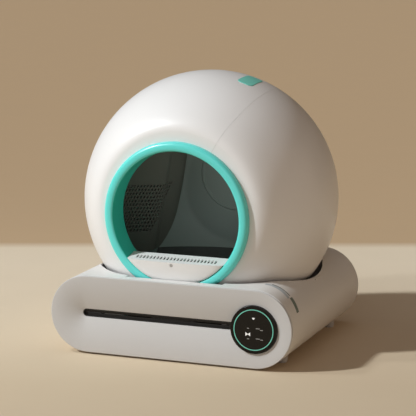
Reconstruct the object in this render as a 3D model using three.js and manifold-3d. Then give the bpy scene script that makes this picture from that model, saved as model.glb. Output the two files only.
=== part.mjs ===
// Self cleaning litter box: a globe on a flat base, with a turning drum inside it
// and a waste drawer that pulls out at the front.
// Millimetres. +Z is up, the front looks along -Y, and the origin lies on the floor
// under the middle of the whole. The drum turns about a line along Y through the globe.
// Places along Y are measured from the middle of the base, and the group moves them back
// by half of what the control pod stands proud.
import * as THREE from 'three';
import { mergeVertices } from 'three/addons/utils/BufferGeometryUtils.js';
import Module from 'manifold-3d';

const wasm = await Module();
wasm.setup();

// Driving dimensions. Each table of shares gives lengths that follow the globe's radius,
// or for the pod the base's height.
const globeRadius = 270.5;
const gap = 0.3; // clearance between pieces that seat on each other
const cut = 5; // how far every cutting tool runs past what it cuts

const baseShares = {
  width: 1.95933,
  depth: 1.70055,
  axisRise: 0.4695, // drum axis above the top of the base
};
const base = {
  width: globeRadius * baseShares.width,
  depth: globeRadius * baseShares.depth,
  height: 162,
  lift: 4,
  wall: 3,
  seamHeight: 20, // floor to the joint between the tray and the cover
  wellGap: 8,
  collarGap: 6, // in front of the entry collar
  shelfThickness: 6,
  shelfWidth: 36,
  shelfReach: 9, // in from the globe's outside, under its cut edge
  endSegments: 9,
};

const globeShares = {
  rise: 0.03697, // the globe's middle above the drum axis
  centreY: 0.0536,
  faceY: -0.68022, // front face, where the entry collar seats
  faceRadius: 0.61368,
  shoulderRadius: 0.85767,
  mouthRadius: 0.5305,
  backY: 0.79113,
  backRadius: 0.55453,
  backShoulderRadius: 0.76894,
};
const globe = {
  axisHeight: base.lift + base.height + globeRadius * baseShares.axisRise,
  radius: globeRadius,
  wall: 3,
  rimDrop: 20, // from the top of the base down to the cut edge inside it
  seamAngle: 28.6, // degrees from straight up, towards +X
  segments: 40,
  arcSteps: 8,
  bendSteps: 3,
  ...sized(globeShares, globeRadius),
};

const collarShares = {
  outerRadius: 0.5841,
  lipDepth: 0.05175,
  boreRadius: 0.51016,
  tubeLength: 0.21072,
};
const collar = {
  lipRadius: 6,
  outerRoundDepth: 10,
  tubeWall: 3,
  segments: 40,
  roundSteps: 3,
  sealGap: 1,
  sealWidth: 3.2,
  ...sized(collarShares, globeRadius),
};

const stepShares = {
  topDrop: 0.31054, // below the drum axis
  bulge: 0.04066,
  depth: 0.16636,
  frontInset: 0.04806,
  slotPitch: 0.02884,
  slotLength: 0.07579,
  slotSetback: 0.061,
  sensorDrop: 0.04436,
  sensorX: -0.01627,
};
const step = {
  wall: 3,
  domeSteps: 6,
  slots: 24,
  topSlope: 6.4, // degrees, falling towards the front
  slotWidth: 2.5,
  slotSlant: -7,
  sensorRadius: 3.2,
  sensorLength: 9,
  ...sized(stepShares, globeRadius),
};

const drumShares = {
  radius: 0.82071,
  mouthY: -0.52865,
  mouthLip: 0.02588,
  frontShoulderY: -0.41405,
  frontShoulderRadius: 0.7024,
  barrelFrontY: -0.28835,
  frontTrackY: -0.21441,
  seamY: -0.11091,
  rearTrackY: 0.22921,
  barrelRearY: 0.34011,
  rearShoulderY: 0.41405,
  rearShoulderRadius: 0.75786,
  flangeRadius: 0.65065,
  flangeReach: 0.05915, // from the gear's seat forward to where the flange grows out of the barrel
  gearSeatY: 0.55453,
  gearSeatRadius: 0.55453,
  backY: 0.61368,
  backRadius: 0.45841,
};
const drum = {
  trackRise: 4,
  trackWidth: 18,
  wall: 3.5,
  segments: 40,
  ...sized(drumShares, globeRadius),
};

const backPanelShares = {
  radius: 0.29575,
  rise: 0.12569, // above the drum axis
};
const backPanel = {
  thickness: 2.5,
  rimWidth: 6,
  segments: 32,
  ...sized(backPanelShares, globeRadius),
};

const linerShares = {
  topDrop: 0.48059, // below the drum axis
  frontY: -0.38447,
  rearY: 0.38447,
  sieveSide: -0.53974,
};
const liner = {
  thickness: 2.2,
  ...sized(linerShares, globeRadius),
};

const sieveShares = {
  rowPitch: 0.03031,
  columnPitch: 0.03179,
  topRowRise: 0.08503, // above the drum axis
  firstHoleY: -0.19224,
};
const sieve = {
  thickness: 2.4,
  steps: 12,
  samples: 48,
  rows: 12,
  columns: 17,
  holeWidth: 3.2,
  holeHeight: 5.4,
  holeSlant: 28,
  wallClearance: 0.6,
  taperShare: 0.8, // how far the rows of holes shorten towards the bottom
  ...sized(sieveShares, globeRadius),
};

const portShares = {
  width: 0.43622,
  frontY: -0.05175,
  rearY: 0.19224,
};
const port = {
  angle: 25, // degrees left of straight up
  frameWidth: 8,
  frameThickness: 3,
  ...sized(portShares, globeRadius),
};

const gearShares = {
  module: 0.01849,
  seatRadius: 0.56193,
};
const gear = {
  ringTeeth: 72,
  pinionTeeth: 10,
  faceWidth: 10,
  pinionAngle: 12, // degrees from straight down, towards +X
  backlash: 0.35, // taken off each tooth flank
  tipShare: 0.9, // of the module, above the pitch circle
  rootShare: 1.1, // of the module, below the pitch circle
  tipHalfShare: 0.13, // of a tooth's pitch
  rootHalfShare: 0.36,
  shaftRadius: 4,
  ...sized(gearShares, globeRadius),
};

const motor = {
  radius: 17,
  rearGap: 6.6, // from its tail to the plate that closes the back
  boxRadius: 18,
  boxLength: 16,
  plateThickness: 3,
  plateWidth: 62,
  plateHeight: 36,
  shaftGap: 2.2,
  segments: 20,
  tailRadius: 5,
  tailLength: 3,
};

const roller = {
  angle: 50, // degrees from straight down
  radius: 14,
  boreRadius: 3.5,
  axleRadius: 3.2,
  flangeRise: 3,
  flangeWidth: 2.4,
  standThickness: 4,
  standWidth: 18,
  standTop: 7,
  sideGap: 1,
  runningGap: 0.3,
  yokeGap: 2,
  segments: 14,
  axleSegments: 8,
};

const deckShares = {
  frontY: -0.41405,
  rearY: 0.47319,
  holeHalfWidth: 0.2366,
};
const deck = {
  thickness: 2.5,
  clearance: 3.5,
  leftAngle: 44,
  rightAngle: 33,
  arcSteps: 12,
  ...sized(deckShares, globeRadius),
};

const drawer = {
  faceThickness: 6,
  lipThickness: 3, // of the edge that lies in front of the body
  plugGap: 0.6, // round the part of the face that reaches into the body
  faceGap: 0.8,
  dishDepth: 14, // the face slopes in this far from its edge to the slot
  dishWall: 4,
  dishRim: 3,
  dishBendShare: 0.3, // how much of the depth is reached half way to the slot
  bulgeInset: 9,
  slotRadius: 8,
  slotReach: 6, // past the middle of the base's round end
  slotWall: 2,
  slotLip: 3,
  binWall: 2.5,
  binSideGap: 3,
  binDeckGap: 5.5,
};

const binShares = {
  rearY: 0.52496,
  topDrop: 0.59519, // below the drum axis
  filterDrop: 0.66913,
};

const bagRing = {
  inset: 12,
  thickness: 2.4,
};

const filterBox = {
  width: 96,
  depth: 18,
};

const seal = {
  outerInset: 3.5,
  width: 6,
  thickness: 3,
};

const bulkhead = {
  thickness: 3,
  radiusGap: 0.4,
  binGap: 3,
  binFrontGap: 1.2,
  cableRadius: 20,
};

const podShares = {
  radius: 0.30617,
  lightOuterRadius: 0.26296,
  lightInnerRadius: 0.24877,
  boardRadius: 0.24691,
};
const pod = {
  proud: 2, // in front of the drawer face
  wall: 3,
  lensThickness: 3,
  boardThickness: 1.6,
  stemRadius: 10,
  segments: 28,
  ...sized(podShares, base.height),
};

const rear = {
  thickness: 4,
  edge: 3,
  inletInset: 34, // in from the middle of the base's round end
  inletHeight: 48,
  inletRadius: 9,
  inletBore: 7,
  inletPin: 1.2,
  inletLength: 16,
  inletFlange: 13,
  inletWall: 3,
};

const board = {
  width: 50,
  length: 80,
  thickness: 1.6,
  reach: 28, // past the middle of the base's round end
  rearInset: 68,
  height: 46,
  postRadius: 3,
  postInset: 8,
  chipSize: 16,
  chipHeight: 3,
};

const foot = {
  radius: 12,
  sideInset: 50, // from the side of the base to a foot's middle
  frontInset: 87,
  rearInset: 57,
  padHeight: 3,
  padInset: 1.5,
  segments: 20,
};

const latch = {
  angle: 19.4, // degrees from straight up, towards +X
  width: 34,
  length: 76,
  middleY: 8,
  cornerRadius: 10,
  thickness: 4.5,
  proud: 0.8,
  sideGap: 0.6,
  travel: 3,
  cupWall: 2,
  cupDepth: 19,
  sag: 4, // the globe's curve falls by this much at the ends of the button
  springRadius: 6,
  springWire: 1.6,
  springTurns: 4,
  stepsPerTurn: 7,
  wireSides: 3,
  cornerSteps: 3,
};

const rail = {
  width: 10,
  rise: 2.5,
  inset: 26,
};

// Places that follow from the driving dimensions
const endRadius = base.height / 2;
const endX = base.width / 2 - endRadius;
const midHeight = base.lift + endRadius;
const topHeight = base.lift + base.height;
const frontY = -base.depth / 2;
const rearY = base.depth / 2;
const bodyFrontY = frontY + drawer.lipThickness + drawer.faceGap;
const bodyRearY = rearY - rear.thickness - gap;
const floorTop = base.lift + base.wall;
const binFloor = floorTop + rail.rise + gap;
const faceBackY = frontY + drawer.dishDepth + drawer.dishWall;
const slotBackY = faceBackY + gap + drawer.slotWall;
const binFrontY = slotBackY + gap;
const bulkheadY = binFrontY + bulkhead.binFrontGap;
const ringPitchRadius = gear.module * gear.ringTeeth / 2;
const pinionPitchRadius = gear.module * gear.pinionTeeth / 2;
const gearCentreDistance = ringPitchRadius + pinionPitchRadius;
const trackRadius = drum.radius + drum.trackRise;
const deckInner = trackRadius + deck.clearance;
const deckOuter = deckInner + deck.thickness;
const binLeftX = -deckOuter * Math.sin(rad(deck.leftAngle)) + deck.thickness + drawer.binSideGap;
const binRightX = deckOuter * Math.sin(rad(deck.rightAngle)) - deck.thickness - drawer.binSideGap;

const drumMouthRadius = collar.boreRadius + collar.tubeWall + gap + collar.sealWidth + collar.sealGap
  + drum.wall;
const globeHeight = globe.axisHeight + globe.rise;
const rimHeight = topHeight - globe.rimDrop;
const stepTop = globe.axisHeight - step.topDrop;
const linerTop = globe.axisHeight - liner.topDrop;
const slotLeftX = -endX - drawer.slotReach;
const podX = endX;
const binRearY = globeRadius * binShares.rearY;
const binTop = globe.axisHeight - globeRadius * binShares.topDrop;
const filterTop = globe.axisHeight - globeRadius * binShares.filterDrop;
const inletX = -endX + rear.inletInset;

// Finishes seen on the real object
const finishes = {
  white: finish(0xe6e3df, 0.42),
  teal: finish(0x48cfb7, 0.38),
  darkGrey: finish(0x3c4240, 0.6),
  sieveGrey: finish(0x33332f, 0.6),
  rubber: finish(0x262626, 0.85),
  black: finish(0x161514, 0.18),
  glow: finish(0x6ebea9, 0.4),
  innerGrey: finish(0x6b6d6f, 0.6),
  nylon: finish(0xd8d6cf, 0.5),
  steel: finish(0xb4b4b4, 0.3, 0.9),
  boardGreen: finish(0x1f5a3a, 0.5),
  carbon: finish(0x3a3a3c, 0.9),
};

// Turns a table of shares into lengths.
function sized(shares, whole) {
  return Object.fromEntries(Object.entries(shares).map(([name, share]) => [name, share * whole]));
}

const product = new THREE.Group();
product.position.y = pod.proud / 2;

function rad(degrees) {
  return THREE.MathUtils.degToRad(degrees);
}

function finish(color, roughness, metalness = 0) {
  return new THREE.MeshStandardMaterial({ color, roughness, metalness });
}

// Turns a closed three.js geometry into a solid, dropping the empty triangles at a pole.
function solid(geometry) {
  const bare = geometry.clone();
  bare.deleteAttribute('normal');
  bare.deleteAttribute('uv');
  const merged = mergeVertices(bare);
  const places = merged.getAttribute('position').array;
  const source = merged.getIndex().array;
  const triangles = [];
  let volume = 0;
  for (let i = 0; i < source.length; i += 3) {
    const [a, b, c] = [source[i], source[i + 1], source[i + 2]];
    if (a === b || b === c || c === a) continue;
    triangles.push(a, b, c);
    const corners = [a, b, c].map((k) => new THREE.Vector3().fromArray(places, k * 3));
    volume += corners[0].dot(corners[1].cross(corners[2]));
  }
  if (volume < 0) {
    triangles.reverse();
  }
  return new wasm.Manifold(new wasm.Mesh({
    numProp: 3,
    vertProperties: new Float32Array(places),
    triVerts: new Uint32Array(triangles),
  }));
}

// Names a solid, gives it a finish and places it in the product.
function piece(name, shape, material) {
  const result = shape.getMesh();
  const geometry = new THREE.BufferGeometry();
  geometry.setAttribute('position', new THREE.BufferAttribute(new Float32Array(result.vertProperties), 3));
  geometry.setIndex(new THREE.BufferAttribute(new Uint32Array(result.triVerts), 1));
  geometry.computeVertexNormals();
  const mesh = new THREE.Mesh(geometry, material);
  mesh.name = name;
  product.add(mesh);
  return mesh;
}

function block(x0, x1, y0, y1, z0, z1) {
  const geometry = new THREE.BoxGeometry(x1 - x0, y1 - y0, z1 - z0);
  geometry.translate((x0 + x1) / 2, (y0 + y1) / 2, (z0 + z1) / 2);
  return solid(geometry);
}

// A round bar along Y.
function bar(radius, y0, y1, x, z, segments = roller.segments) {
  const geometry = new THREE.CylinderGeometry(radius, radius, y1 - y0, segments);
  geometry.translate(x, (y0 + y1) / 2, z);
  return solid(geometry);
}

// A flat ring along Y.
function ring(outer, inner, y0, y1, x, z, segments = roller.segments) {
  return bar(outer, y0, y1, x, z, segments).subtract(bar(inner, y0 - cut, y1 + cut, x, z, segments));
}

// An outline drawn in X and Z, pushed along Y.
function pushed(shape, y0, y1, curveSegments = base.endSegments) {
  const geometry = new THREE.ExtrudeGeometry(shape, { depth: y1 - y0, bevelEnabled: false, curveSegments });
  geometry.rotateX(Math.PI / 2);
  geometry.translate(0, y1, 0);
  return solid(geometry);
}

// A closed profile of [radius, y] points turned about the drum axis, or about a line at another height.
function turned(points, segments, height = globe.axisHeight) {
  const profile = points.map(([r, y]) => new THREE.Vector2(r, y));
  const geometry = new THREE.LatheGeometry(profile, segments);
  geometry.translate(0, 0, height);
  return solid(geometry);
}

// The outline of the base: a flat top and bottom with round ends.
function stadium(radius, leftX = -endX, rightX = endX, z = midHeight) {
  const shape = new THREE.Shape();
  shape.moveTo(leftX, z - radius);
  shape.lineTo(rightX, z - radius);
  shape.absarc(rightX, z, radius, -Math.PI / 2, Math.PI / 2, false);
  shape.lineTo(leftX, z + radius);
  shape.absarc(leftX, z, radius, Math.PI / 2, Math.PI * 1.5, false);
  return shape;
}

// A point at an angle from straight down about the drum axis, positive towards +X.
function fromBottom(radius, degrees) {
  return [radius * Math.sin(rad(degrees)), globe.axisHeight - radius * Math.cos(rad(degrees))];
}

// Globe

// A curve from a flat disc to the ball, along both where it meets them.
function shoulder(flatRadius, flatY, ballRadius, ballY, slope) {
  const corner = new THREE.Vector2(ballRadius - (flatY - ballY) * slope, flatY);
  const curve = new THREE.QuadraticBezierCurve(new THREE.Vector2(flatRadius, flatY), corner,
    new THREE.Vector2(ballRadius, ballY));
  return curve.getPoints(globe.bendSteps).map((p) => [p.x, p.y]);
}

// The profile of the globe, grown outwards by an offset, from the middle of its face to its back.
function globeProfile(offset) {
  const r = globe.radius + offset;
  const faceY = globe.faceY - offset;
  const backY = globe.backY + offset;
  const front = globe.shoulderRadius + offset;
  const back = globe.backShoulderRadius + offset;
  const frontReach = Math.sqrt(r * r - front * front);
  const backReach = Math.sqrt(r * r - back * back);
  const points = [[0, faceY]];
  points.push(...shoulder(globe.faceRadius, faceY, front, globe.centreY - frontReach, -frontReach / front));
  const from = -Math.asin(frontReach / r);
  const to = Math.asin(backReach / r);
  for (let i = 1; i < globe.arcSteps; i += 1) {
    const angle = from + (to - from) * i / globe.arcSteps;
    points.push([r * Math.cos(angle), globe.centreY + r * Math.sin(angle)]);
  }
  points.push(...shoulder(globe.backRadius, backY, back, globe.centreY + backReach, backReach / back).reverse());
  points.push([0, backY]);
  return points;
}

// The space that the globe fills, grown by an offset.
function globeSpace(offset) {
  return turned(globeProfile(offset), globe.segments, globeHeight);
}

function latchFrame() {
  const frame = new THREE.Group();
  frame.position.set(0, latch.middleY, globeHeight);
  frame.rotation.y = rad(latch.angle);
  frame.updateMatrixWorld();
  return frame;
}

// A plate with round corners, lying flat under the latch's own upward direction.
function latchPlate(grow, low, high) {
  const w = latch.width / 2 + grow;
  const l = latch.length / 2 + grow;
  const r = latch.cornerRadius;
  const shape = new THREE.Shape();
  shape.moveTo(-w + r, -l);
  shape.lineTo(w - r, -l);
  shape.absarc(w - r, -l + r, r, -Math.PI / 2, 0, false);
  shape.lineTo(w, l - r);
  shape.absarc(w - r, l - r, r, 0, Math.PI / 2, false);
  shape.lineTo(-w + r, l);
  shape.absarc(-w + r, l - r, r, Math.PI / 2, Math.PI, false);
  shape.lineTo(-w, -l + r);
  shape.absarc(-w + r, -l + r, r, Math.PI, Math.PI * 1.5, false);
  const geometry = new THREE.ExtrudeGeometry(shape, {
    depth: high - low,
    bevelEnabled: false,
    curveSegments: latch.cornerSteps,
  });
  geometry.translate(0, 0, low);
  return geometry;
}

function inLatchFrame(geometry) {
  return geometry.applyMatrix4(latchFrame().matrixWorld);
}

function makeGlobe() {
  const far = globe.radius * 2;
  const mouth = bar(globe.mouthRadius, -far, globe.centreY, 0, globe.axisHeight, collar.segments);
  const shell = globeSpace(0).subtract(globeSpace(-globe.wall)).subtract(mouth);
  const below = block(-far, far, -far, far, -far, rimHeight);
  const pocket = solid(inLatchFrame(latchPlate(latch.sideGap, globe.radius / 2, far)));
  const whole = shell.subtract(below).subtract(pocket);
  const half = new THREE.BoxGeometry(far, far, far * 2);
  const rightHalf = solid(half.clone().translate(far / 2 + gap / 2, 0, 0)
    .rotateY(rad(globe.seamAngle)).translate(0, 0, globe.axisHeight));
  const leftHalf = solid(half.clone().translate(-far / 2 - gap / 2, 0, 0)
    .rotateY(rad(globe.seamAngle)).translate(0, 0, globe.axisHeight));
  piece('shell_left', whole.intersect(leftHalf), finishes.white);
  piece('shell_right', whole.intersect(rightHalf), finishes.white);
}

// The teal lip and the tube behind it, which the cat steps through.
function makeCollar() {
  const backY = globe.faceY - gap;
  const frontY0 = backY - collar.lipDepth;
  const bore = collar.boreRadius;
  const tubeOuter = bore + collar.tubeWall;
  const r = collar.lipRadius;
  const points = [[tubeOuter, backY], [collar.outerRadius, backY]];
  const roundTo = (centreR, centreY, start) => {
    for (let i = 0; i <= collar.roundSteps; i += 1) {
      const angle = start - Math.PI / 2 * i / collar.roundSteps;
      points.push([centreR + r * Math.cos(angle), centreY + r * Math.sin(angle)]);
    }
  };
  roundTo(collar.outerRadius - r, frontY0 + collar.outerRoundDepth, 0);
  roundTo(bore + r, frontY0 + r, -Math.PI / 2);
  points.push([bore, backY + collar.tubeLength - collar.lipDepth]);
  points.push([tubeOuter, backY + collar.tubeLength - collar.lipDepth]);
  points.push([tubeOuter, backY]);
  piece('entry_collar', turned(points, collar.segments), finishes.teal);

  const sealY = drum.mouthY + gap;
  const sealOuter = drumMouthRadius - drum.wall - collar.sealGap;
  piece('collar_seal', ring(sealOuter, tubeOuter + gap, sealY, sealY + drum.mouthLip / 2, 0,
    globe.axisHeight, collar.segments), finishes.rubber);
}

// The white slotted step that fills the bottom of the collar.
function makeStep() {
  const faceY = globe.faceY - gap - step.frontInset;
  const backY = faceY + step.depth;
  const outerR = collar.boreRadius - gap;
  const dome = (inset) => {
    const r = outerR - inset;
    const points = [[0, faceY - step.bulge + inset]];
    for (let i = 1; i <= step.domeSteps; i += 1) {
      const angle = i / step.domeSteps * Math.PI / 2;
      points.push([r * Math.sin(angle), faceY + inset - step.bulge * Math.cos(angle)]);
    }
    const rearY0 = backY + (inset > 0 ? cut : 0);
    points.push([r, rearY0]);
    points.push([0, rearY0]);
    return turned(points, collar.segments);
  };
  const far = outerR * 2;
  const under = (height) => {
    const half = new THREE.BoxGeometry(far, far, far).translate(0, 0, -far / 2);
    return solid(half.rotateX(rad(step.topSlope)).translate(0, backY, height));
  };
  const skin = dome(0).intersect(under(stepTop));
  const hollow = dome(step.wall).intersect(under(stepTop - step.wall));
  let shape = skin.subtract(hollow);
  const slotY = faceY + step.slotSetback;
  const rowLength = step.slotPitch * (step.slots - 1);
  const slotHeight = stepTop - (backY - slotY) * Math.tan(rad(step.topSlope));
  for (let i = 0; i < step.slots; i += 1) {
    const slot = new THREE.BoxGeometry(step.slotWidth, step.slotLength, step.wall * 2 + cut);
    slot.rotateZ(-rad(step.slotSlant));
    slot.rotateX(rad(step.topSlope));
    slot.translate(i * step.slotPitch - rowLength / 2, slotY, slotHeight);
    shape = shape.subtract(solid(slot));
  }
  const sensorZ = stepTop - step.sensorDrop;
  const sensorY = faceY - step.bulge;
  const bore = step.sensorRadius + gap;
  shape = shape.subtract(bar(bore, sensorY - cut, sensorY + step.sensorLength, step.sensorX, sensorZ));
  piece('entry_step', shape, finishes.white);
  const lens = bar(step.sensorRadius, sensorY - cut, sensorY + step.sensorLength, step.sensorX, sensorZ);
  piece('step_sensor', lens.intersect(dome(-gap)), finishes.black);
}

// The teal button near the top of the globe, with its spring and the cup that guides it.
function makeLatch() {
  const underDepth = latch.thickness - latch.proud;
  const reach = globe.radius / 2;
  const plate = (grow, low, high) => solid(inLatchFrame(latchPlate(grow, low, high)));
  const button = plate(0, reach, globe.radius + cut)
    .intersect(globeSpace(latch.proud))
    .subtract(globeSpace(-underDepth));
  piece('release_button', button, finishes.teal);

  const cupBottom = globe.radius - globe.wall - latch.cupDepth;
  const cup = plate(latch.sideGap + latch.cupWall, cupBottom, globe.radius)
    .intersect(globeSpace(-globe.wall - gap));
  const hollow = plate(latch.sideGap, cupBottom + latch.cupWall, globe.radius + cut);
  piece('button_cup', cup.subtract(hollow), finishes.innerGrey);

  const springLow = cupBottom + latch.cupWall + gap + latch.springWire / 2;
  const springHigh = globe.radius - underDepth - latch.travel - latch.sag - latch.springWire;
  piece('button_spring', solid(inLatchFrame(coil(springLow, springHigh))), finishes.steel);
}

function coil(low, high) {
  class Helix extends THREE.Curve {
    getPoint(t, target = new THREE.Vector3()) {
      const angle = t * latch.springTurns * Math.PI * 2;
      return target.set(latch.springRadius * Math.cos(angle), latch.springRadius * Math.sin(angle),
        low + (high - low) * t);
    }
  }
  const section = new THREE.Shape().absarc(0, 0, latch.springWire / 2, 0, Math.PI * 2, false);
  return new THREE.ExtrudeGeometry(section, {
    extrudePath: new Helix(),
    steps: latch.springTurns * latch.stepsPerTurn,
    curveSegments: latch.wireSides,
    bevelEnabled: false,
  });
}

// Drum

function drumProfile(inset) {
  const r = drum.radius - inset;
  const points = [
    [drumMouthRadius - inset, drum.mouthY],
    [drumMouthRadius - inset, drum.mouthY + drum.mouthLip],
    [drum.frontShoulderRadius - inset, drum.frontShoulderY + inset / 2],
    [r, drum.barrelFrontY + inset / 2],
  ];
  if (inset === 0) {
    [drum.frontTrackY, drum.rearTrackY].forEach((y) => {
      points.push([r, y], [r + drum.trackRise, y]);
      points.push([r + drum.trackRise, y + drum.trackWidth], [r, y + drum.trackWidth]);
    });
  }
  points.push([r, drum.barrelRearY - inset / 2]);
  points.push([drum.rearShoulderRadius - inset, drum.rearShoulderY - inset / 2]);
  if (inset === 0) {
    points.push([drum.flangeRadius, drum.gearSeatY - drum.flangeReach]);
    points.push([drum.flangeRadius, drum.gearSeatY]);
    points.push([drum.gearSeatRadius, drum.gearSeatY]);
  } else {
    points.push([drum.flangeRadius - inset, drum.gearSeatY - drum.flangeReach - inset / 2]);
    points.push([drum.gearSeatRadius - inset, drum.gearSeatY - inset / 2]);
  }
  points.push([drum.backRadius - inset, drum.backY - inset]);
  points.push([0, drum.backY - inset]);
  return points;
}

// The space inside the drum, shrunk by a clearance from its wall.
function drumSpace(clearance) {
  const points = drumProfile(drum.wall + clearance);
  return turned([[0, drum.mouthY], ...points], drum.segments);
}

function portCutter(grow, inner, outer) {
  const depth = port.rearY - port.frontY + grow * 2;
  const low = new THREE.BoxGeometry(port.width + grow * 2, depth, outer - inner);
  low.translate(0, (port.rearY + port.frontY) / 2, (outer + inner) / 2);
  low.rotateY(-rad(port.angle));
  low.translate(0, 0, globe.axisHeight);
  return solid(low);
}

function makeDrum() {
  const outer = turned([[0, drum.mouthY], ...drumProfile(0)], drum.segments);
  const mouth = bar(drumMouthRadius - drum.wall, drum.mouthY - cut, drum.mouthY + drum.mouthLip, 0,
    globe.axisHeight, drum.segments);
  const shell = outer.subtract(drumSpace(0)).subtract(mouth);
  const far = drum.radius * 2;
  const frontSide = block(-far, far, -far, drum.seamY - gap / 2, -far, far * 2);
  const rearSide = block(-far, far, drum.seamY + gap / 2, far, -far, far * 2);
  const panelZ = globe.axisHeight + backPanel.rise;
  const panelHole = bar(backPanel.radius + gap, 0, rearY, 0, panelZ, backPanel.segments);
  const opening = portCutter(0, drum.radius / 2, far);
  piece('drum_front', shell.intersect(frontSide), finishes.darkGrey);
  piece('drum_rear', shell.intersect(rearSide).subtract(panelHole).subtract(opening), finishes.darkGrey);

  const plate = bar(backPanel.radius, drum.backY - backPanel.thickness, drum.backY + gap, 0, panelZ,
    backPanel.segments);
  const rim = bar(backPanel.radius + backPanel.rimWidth, drum.backY + gap,
    drum.backY + gap + backPanel.thickness, 0, panelZ, backPanel.segments);
  piece('drum_back_panel', plate.add(rim), finishes.darkGrey);
}

// The soft mat that the litter lies on.
function makeLiner() {
  const outer = drumSpace(gap);
  const inner = drumSpace(gap + liner.thickness);
  const far = drum.radius;
  const zone = block(liner.sieveSide, far, liner.frontY, liner.rearY, 0, linerTop);
  piece('litter_liner', outer.subtract(inner).intersect(zone), finishes.rubber);
}

// The perforated wall on the left: litter runs through it and the clumps stay behind.
const sievePlanShares = [
  [-0.845, -0.62],
  [-0.815, -0.2],
  [-0.79, 0.2],
  [-0.735, 0.42],
  [-0.6, 0.61],
  [-0.42, 0.77],
];

function sieveCurve() {
  const points = sievePlanShares.map(([x, y]) => new THREE.Vector2(x * drum.radius, y * drum.radius));
  return new THREE.SplineCurve(points);
}

function makeSieve() {
  const curve = sieveCurve();
  const middle = curve.getSpacedPoints(sieve.steps);
  const side = (offset) => middle.map((p, i) => {
    const before = middle[Math.max(i - 1, 0)];
    const after = middle[Math.min(i + 1, sieve.steps)];
    const along = after.clone().sub(before).normalize();
    return new THREE.Vector2(p.x - along.y * offset, p.y + along.x * offset);
  });
  const half = sieve.thickness / 2;
  const outline = new THREE.Shape([...side(half), ...side(-half).reverse()]);
  const height = drum.radius * 2;
  const wall = new THREE.ExtrudeGeometry(outline, { depth: height, bevelEnabled: false });
  wall.translate(0, 0, globe.axisHeight - height / 2);
  const space = drumSpace(sieve.wallClearance);
  const pocket = block(-height, 0, -height, height, linerTop + gap, height * 2);
  let shape = solid(wall).intersect(space).intersect(pocket);
  const length = curve.getLength();
  const samples = curve.getPoints(sieve.samples);
  const start = samples.findIndex((p) => p.y > sieve.firstHoleY) / sieve.samples;
  for (let row = 0; row < sieve.rows; row += 1) {
    const stagger = (row % 2) * sieve.columnPitch / 2;
    const z = (globe.axisHeight + sieve.topRowRise) - row * sieve.rowPitch;
    const shareDown = row / (sieve.rows - 1);
    const columns = Math.round(sieve.columns * Math.sqrt(1 - sieve.taperShare * shareDown * shareDown));
    for (let column = 0; column < columns; column += 1) {
      const along = start * length + stagger + column * sieve.columnPitch;
      const share = along / length;
      const place = curve.getPointAt(share);
      const way = curve.getTangentAt(share);
      const hole = new THREE.BoxGeometry(sieve.holeWidth, sieve.thickness + cut * 2, sieve.holeHeight);
      hole.rotateY(rad(sieve.holeSlant));
      hole.rotateZ(Math.atan2(way.y, way.x));
      hole.translate(place.x, place.y, z);
      shape = shape.subtract(solid(hole));
    }
  }
  piece('sieve_panel', shape, finishes.sieveGrey);
}

// The rubber frame round the waste port, on the outside of the drum.
function makePortFrame() {
  const face = drum.radius + gap;
  const shell = ring(face + port.frameThickness, face, port.frontY - port.frameWidth,
    port.rearY + port.frameWidth, 0, globe.axisHeight, drum.segments);
  const far = drum.radius * 2;
  const frame = portCutter(port.frameWidth, drum.radius / 2, far);
  const rearLimit = block(-far, far, -far, drum.rearTrackY - gap, 0, far * 2);
  const hole = portCutter(0, drum.radius / 2, far);
  piece('port_frame', shell.intersect(frame).intersect(rearLimit).subtract(hole), finishes.rubber);
}

// Drive

// A gear outline in X and Z. With backlash, each flank gives a little.
function gearOutline(teeth, phase) {
  const pitch = gear.module * teeth / 2;
  const tip = pitch + gear.module * gear.tipShare;
  const root = pitch - gear.module * gear.rootShare;
  const toothAngle = Math.PI * 2 / teeth;
  const slack = gear.backlash / pitch;
  const shares = [
    [root, -gear.rootHalfShare],
    [tip, -gear.tipHalfShare],
    [tip, gear.tipHalfShare],
    [root, gear.rootHalfShare],
  ];
  const points = [];
  for (let i = 0; i < teeth; i += 1) {
    shares.forEach(([radius, share]) => {
      const angle = phase + (i + share) * toothAngle - Math.sign(share) * slack;
      points.push(new THREE.Vector2(radius * Math.sin(angle), -radius * Math.cos(angle)));
    });
  }
  return points;
}

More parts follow.
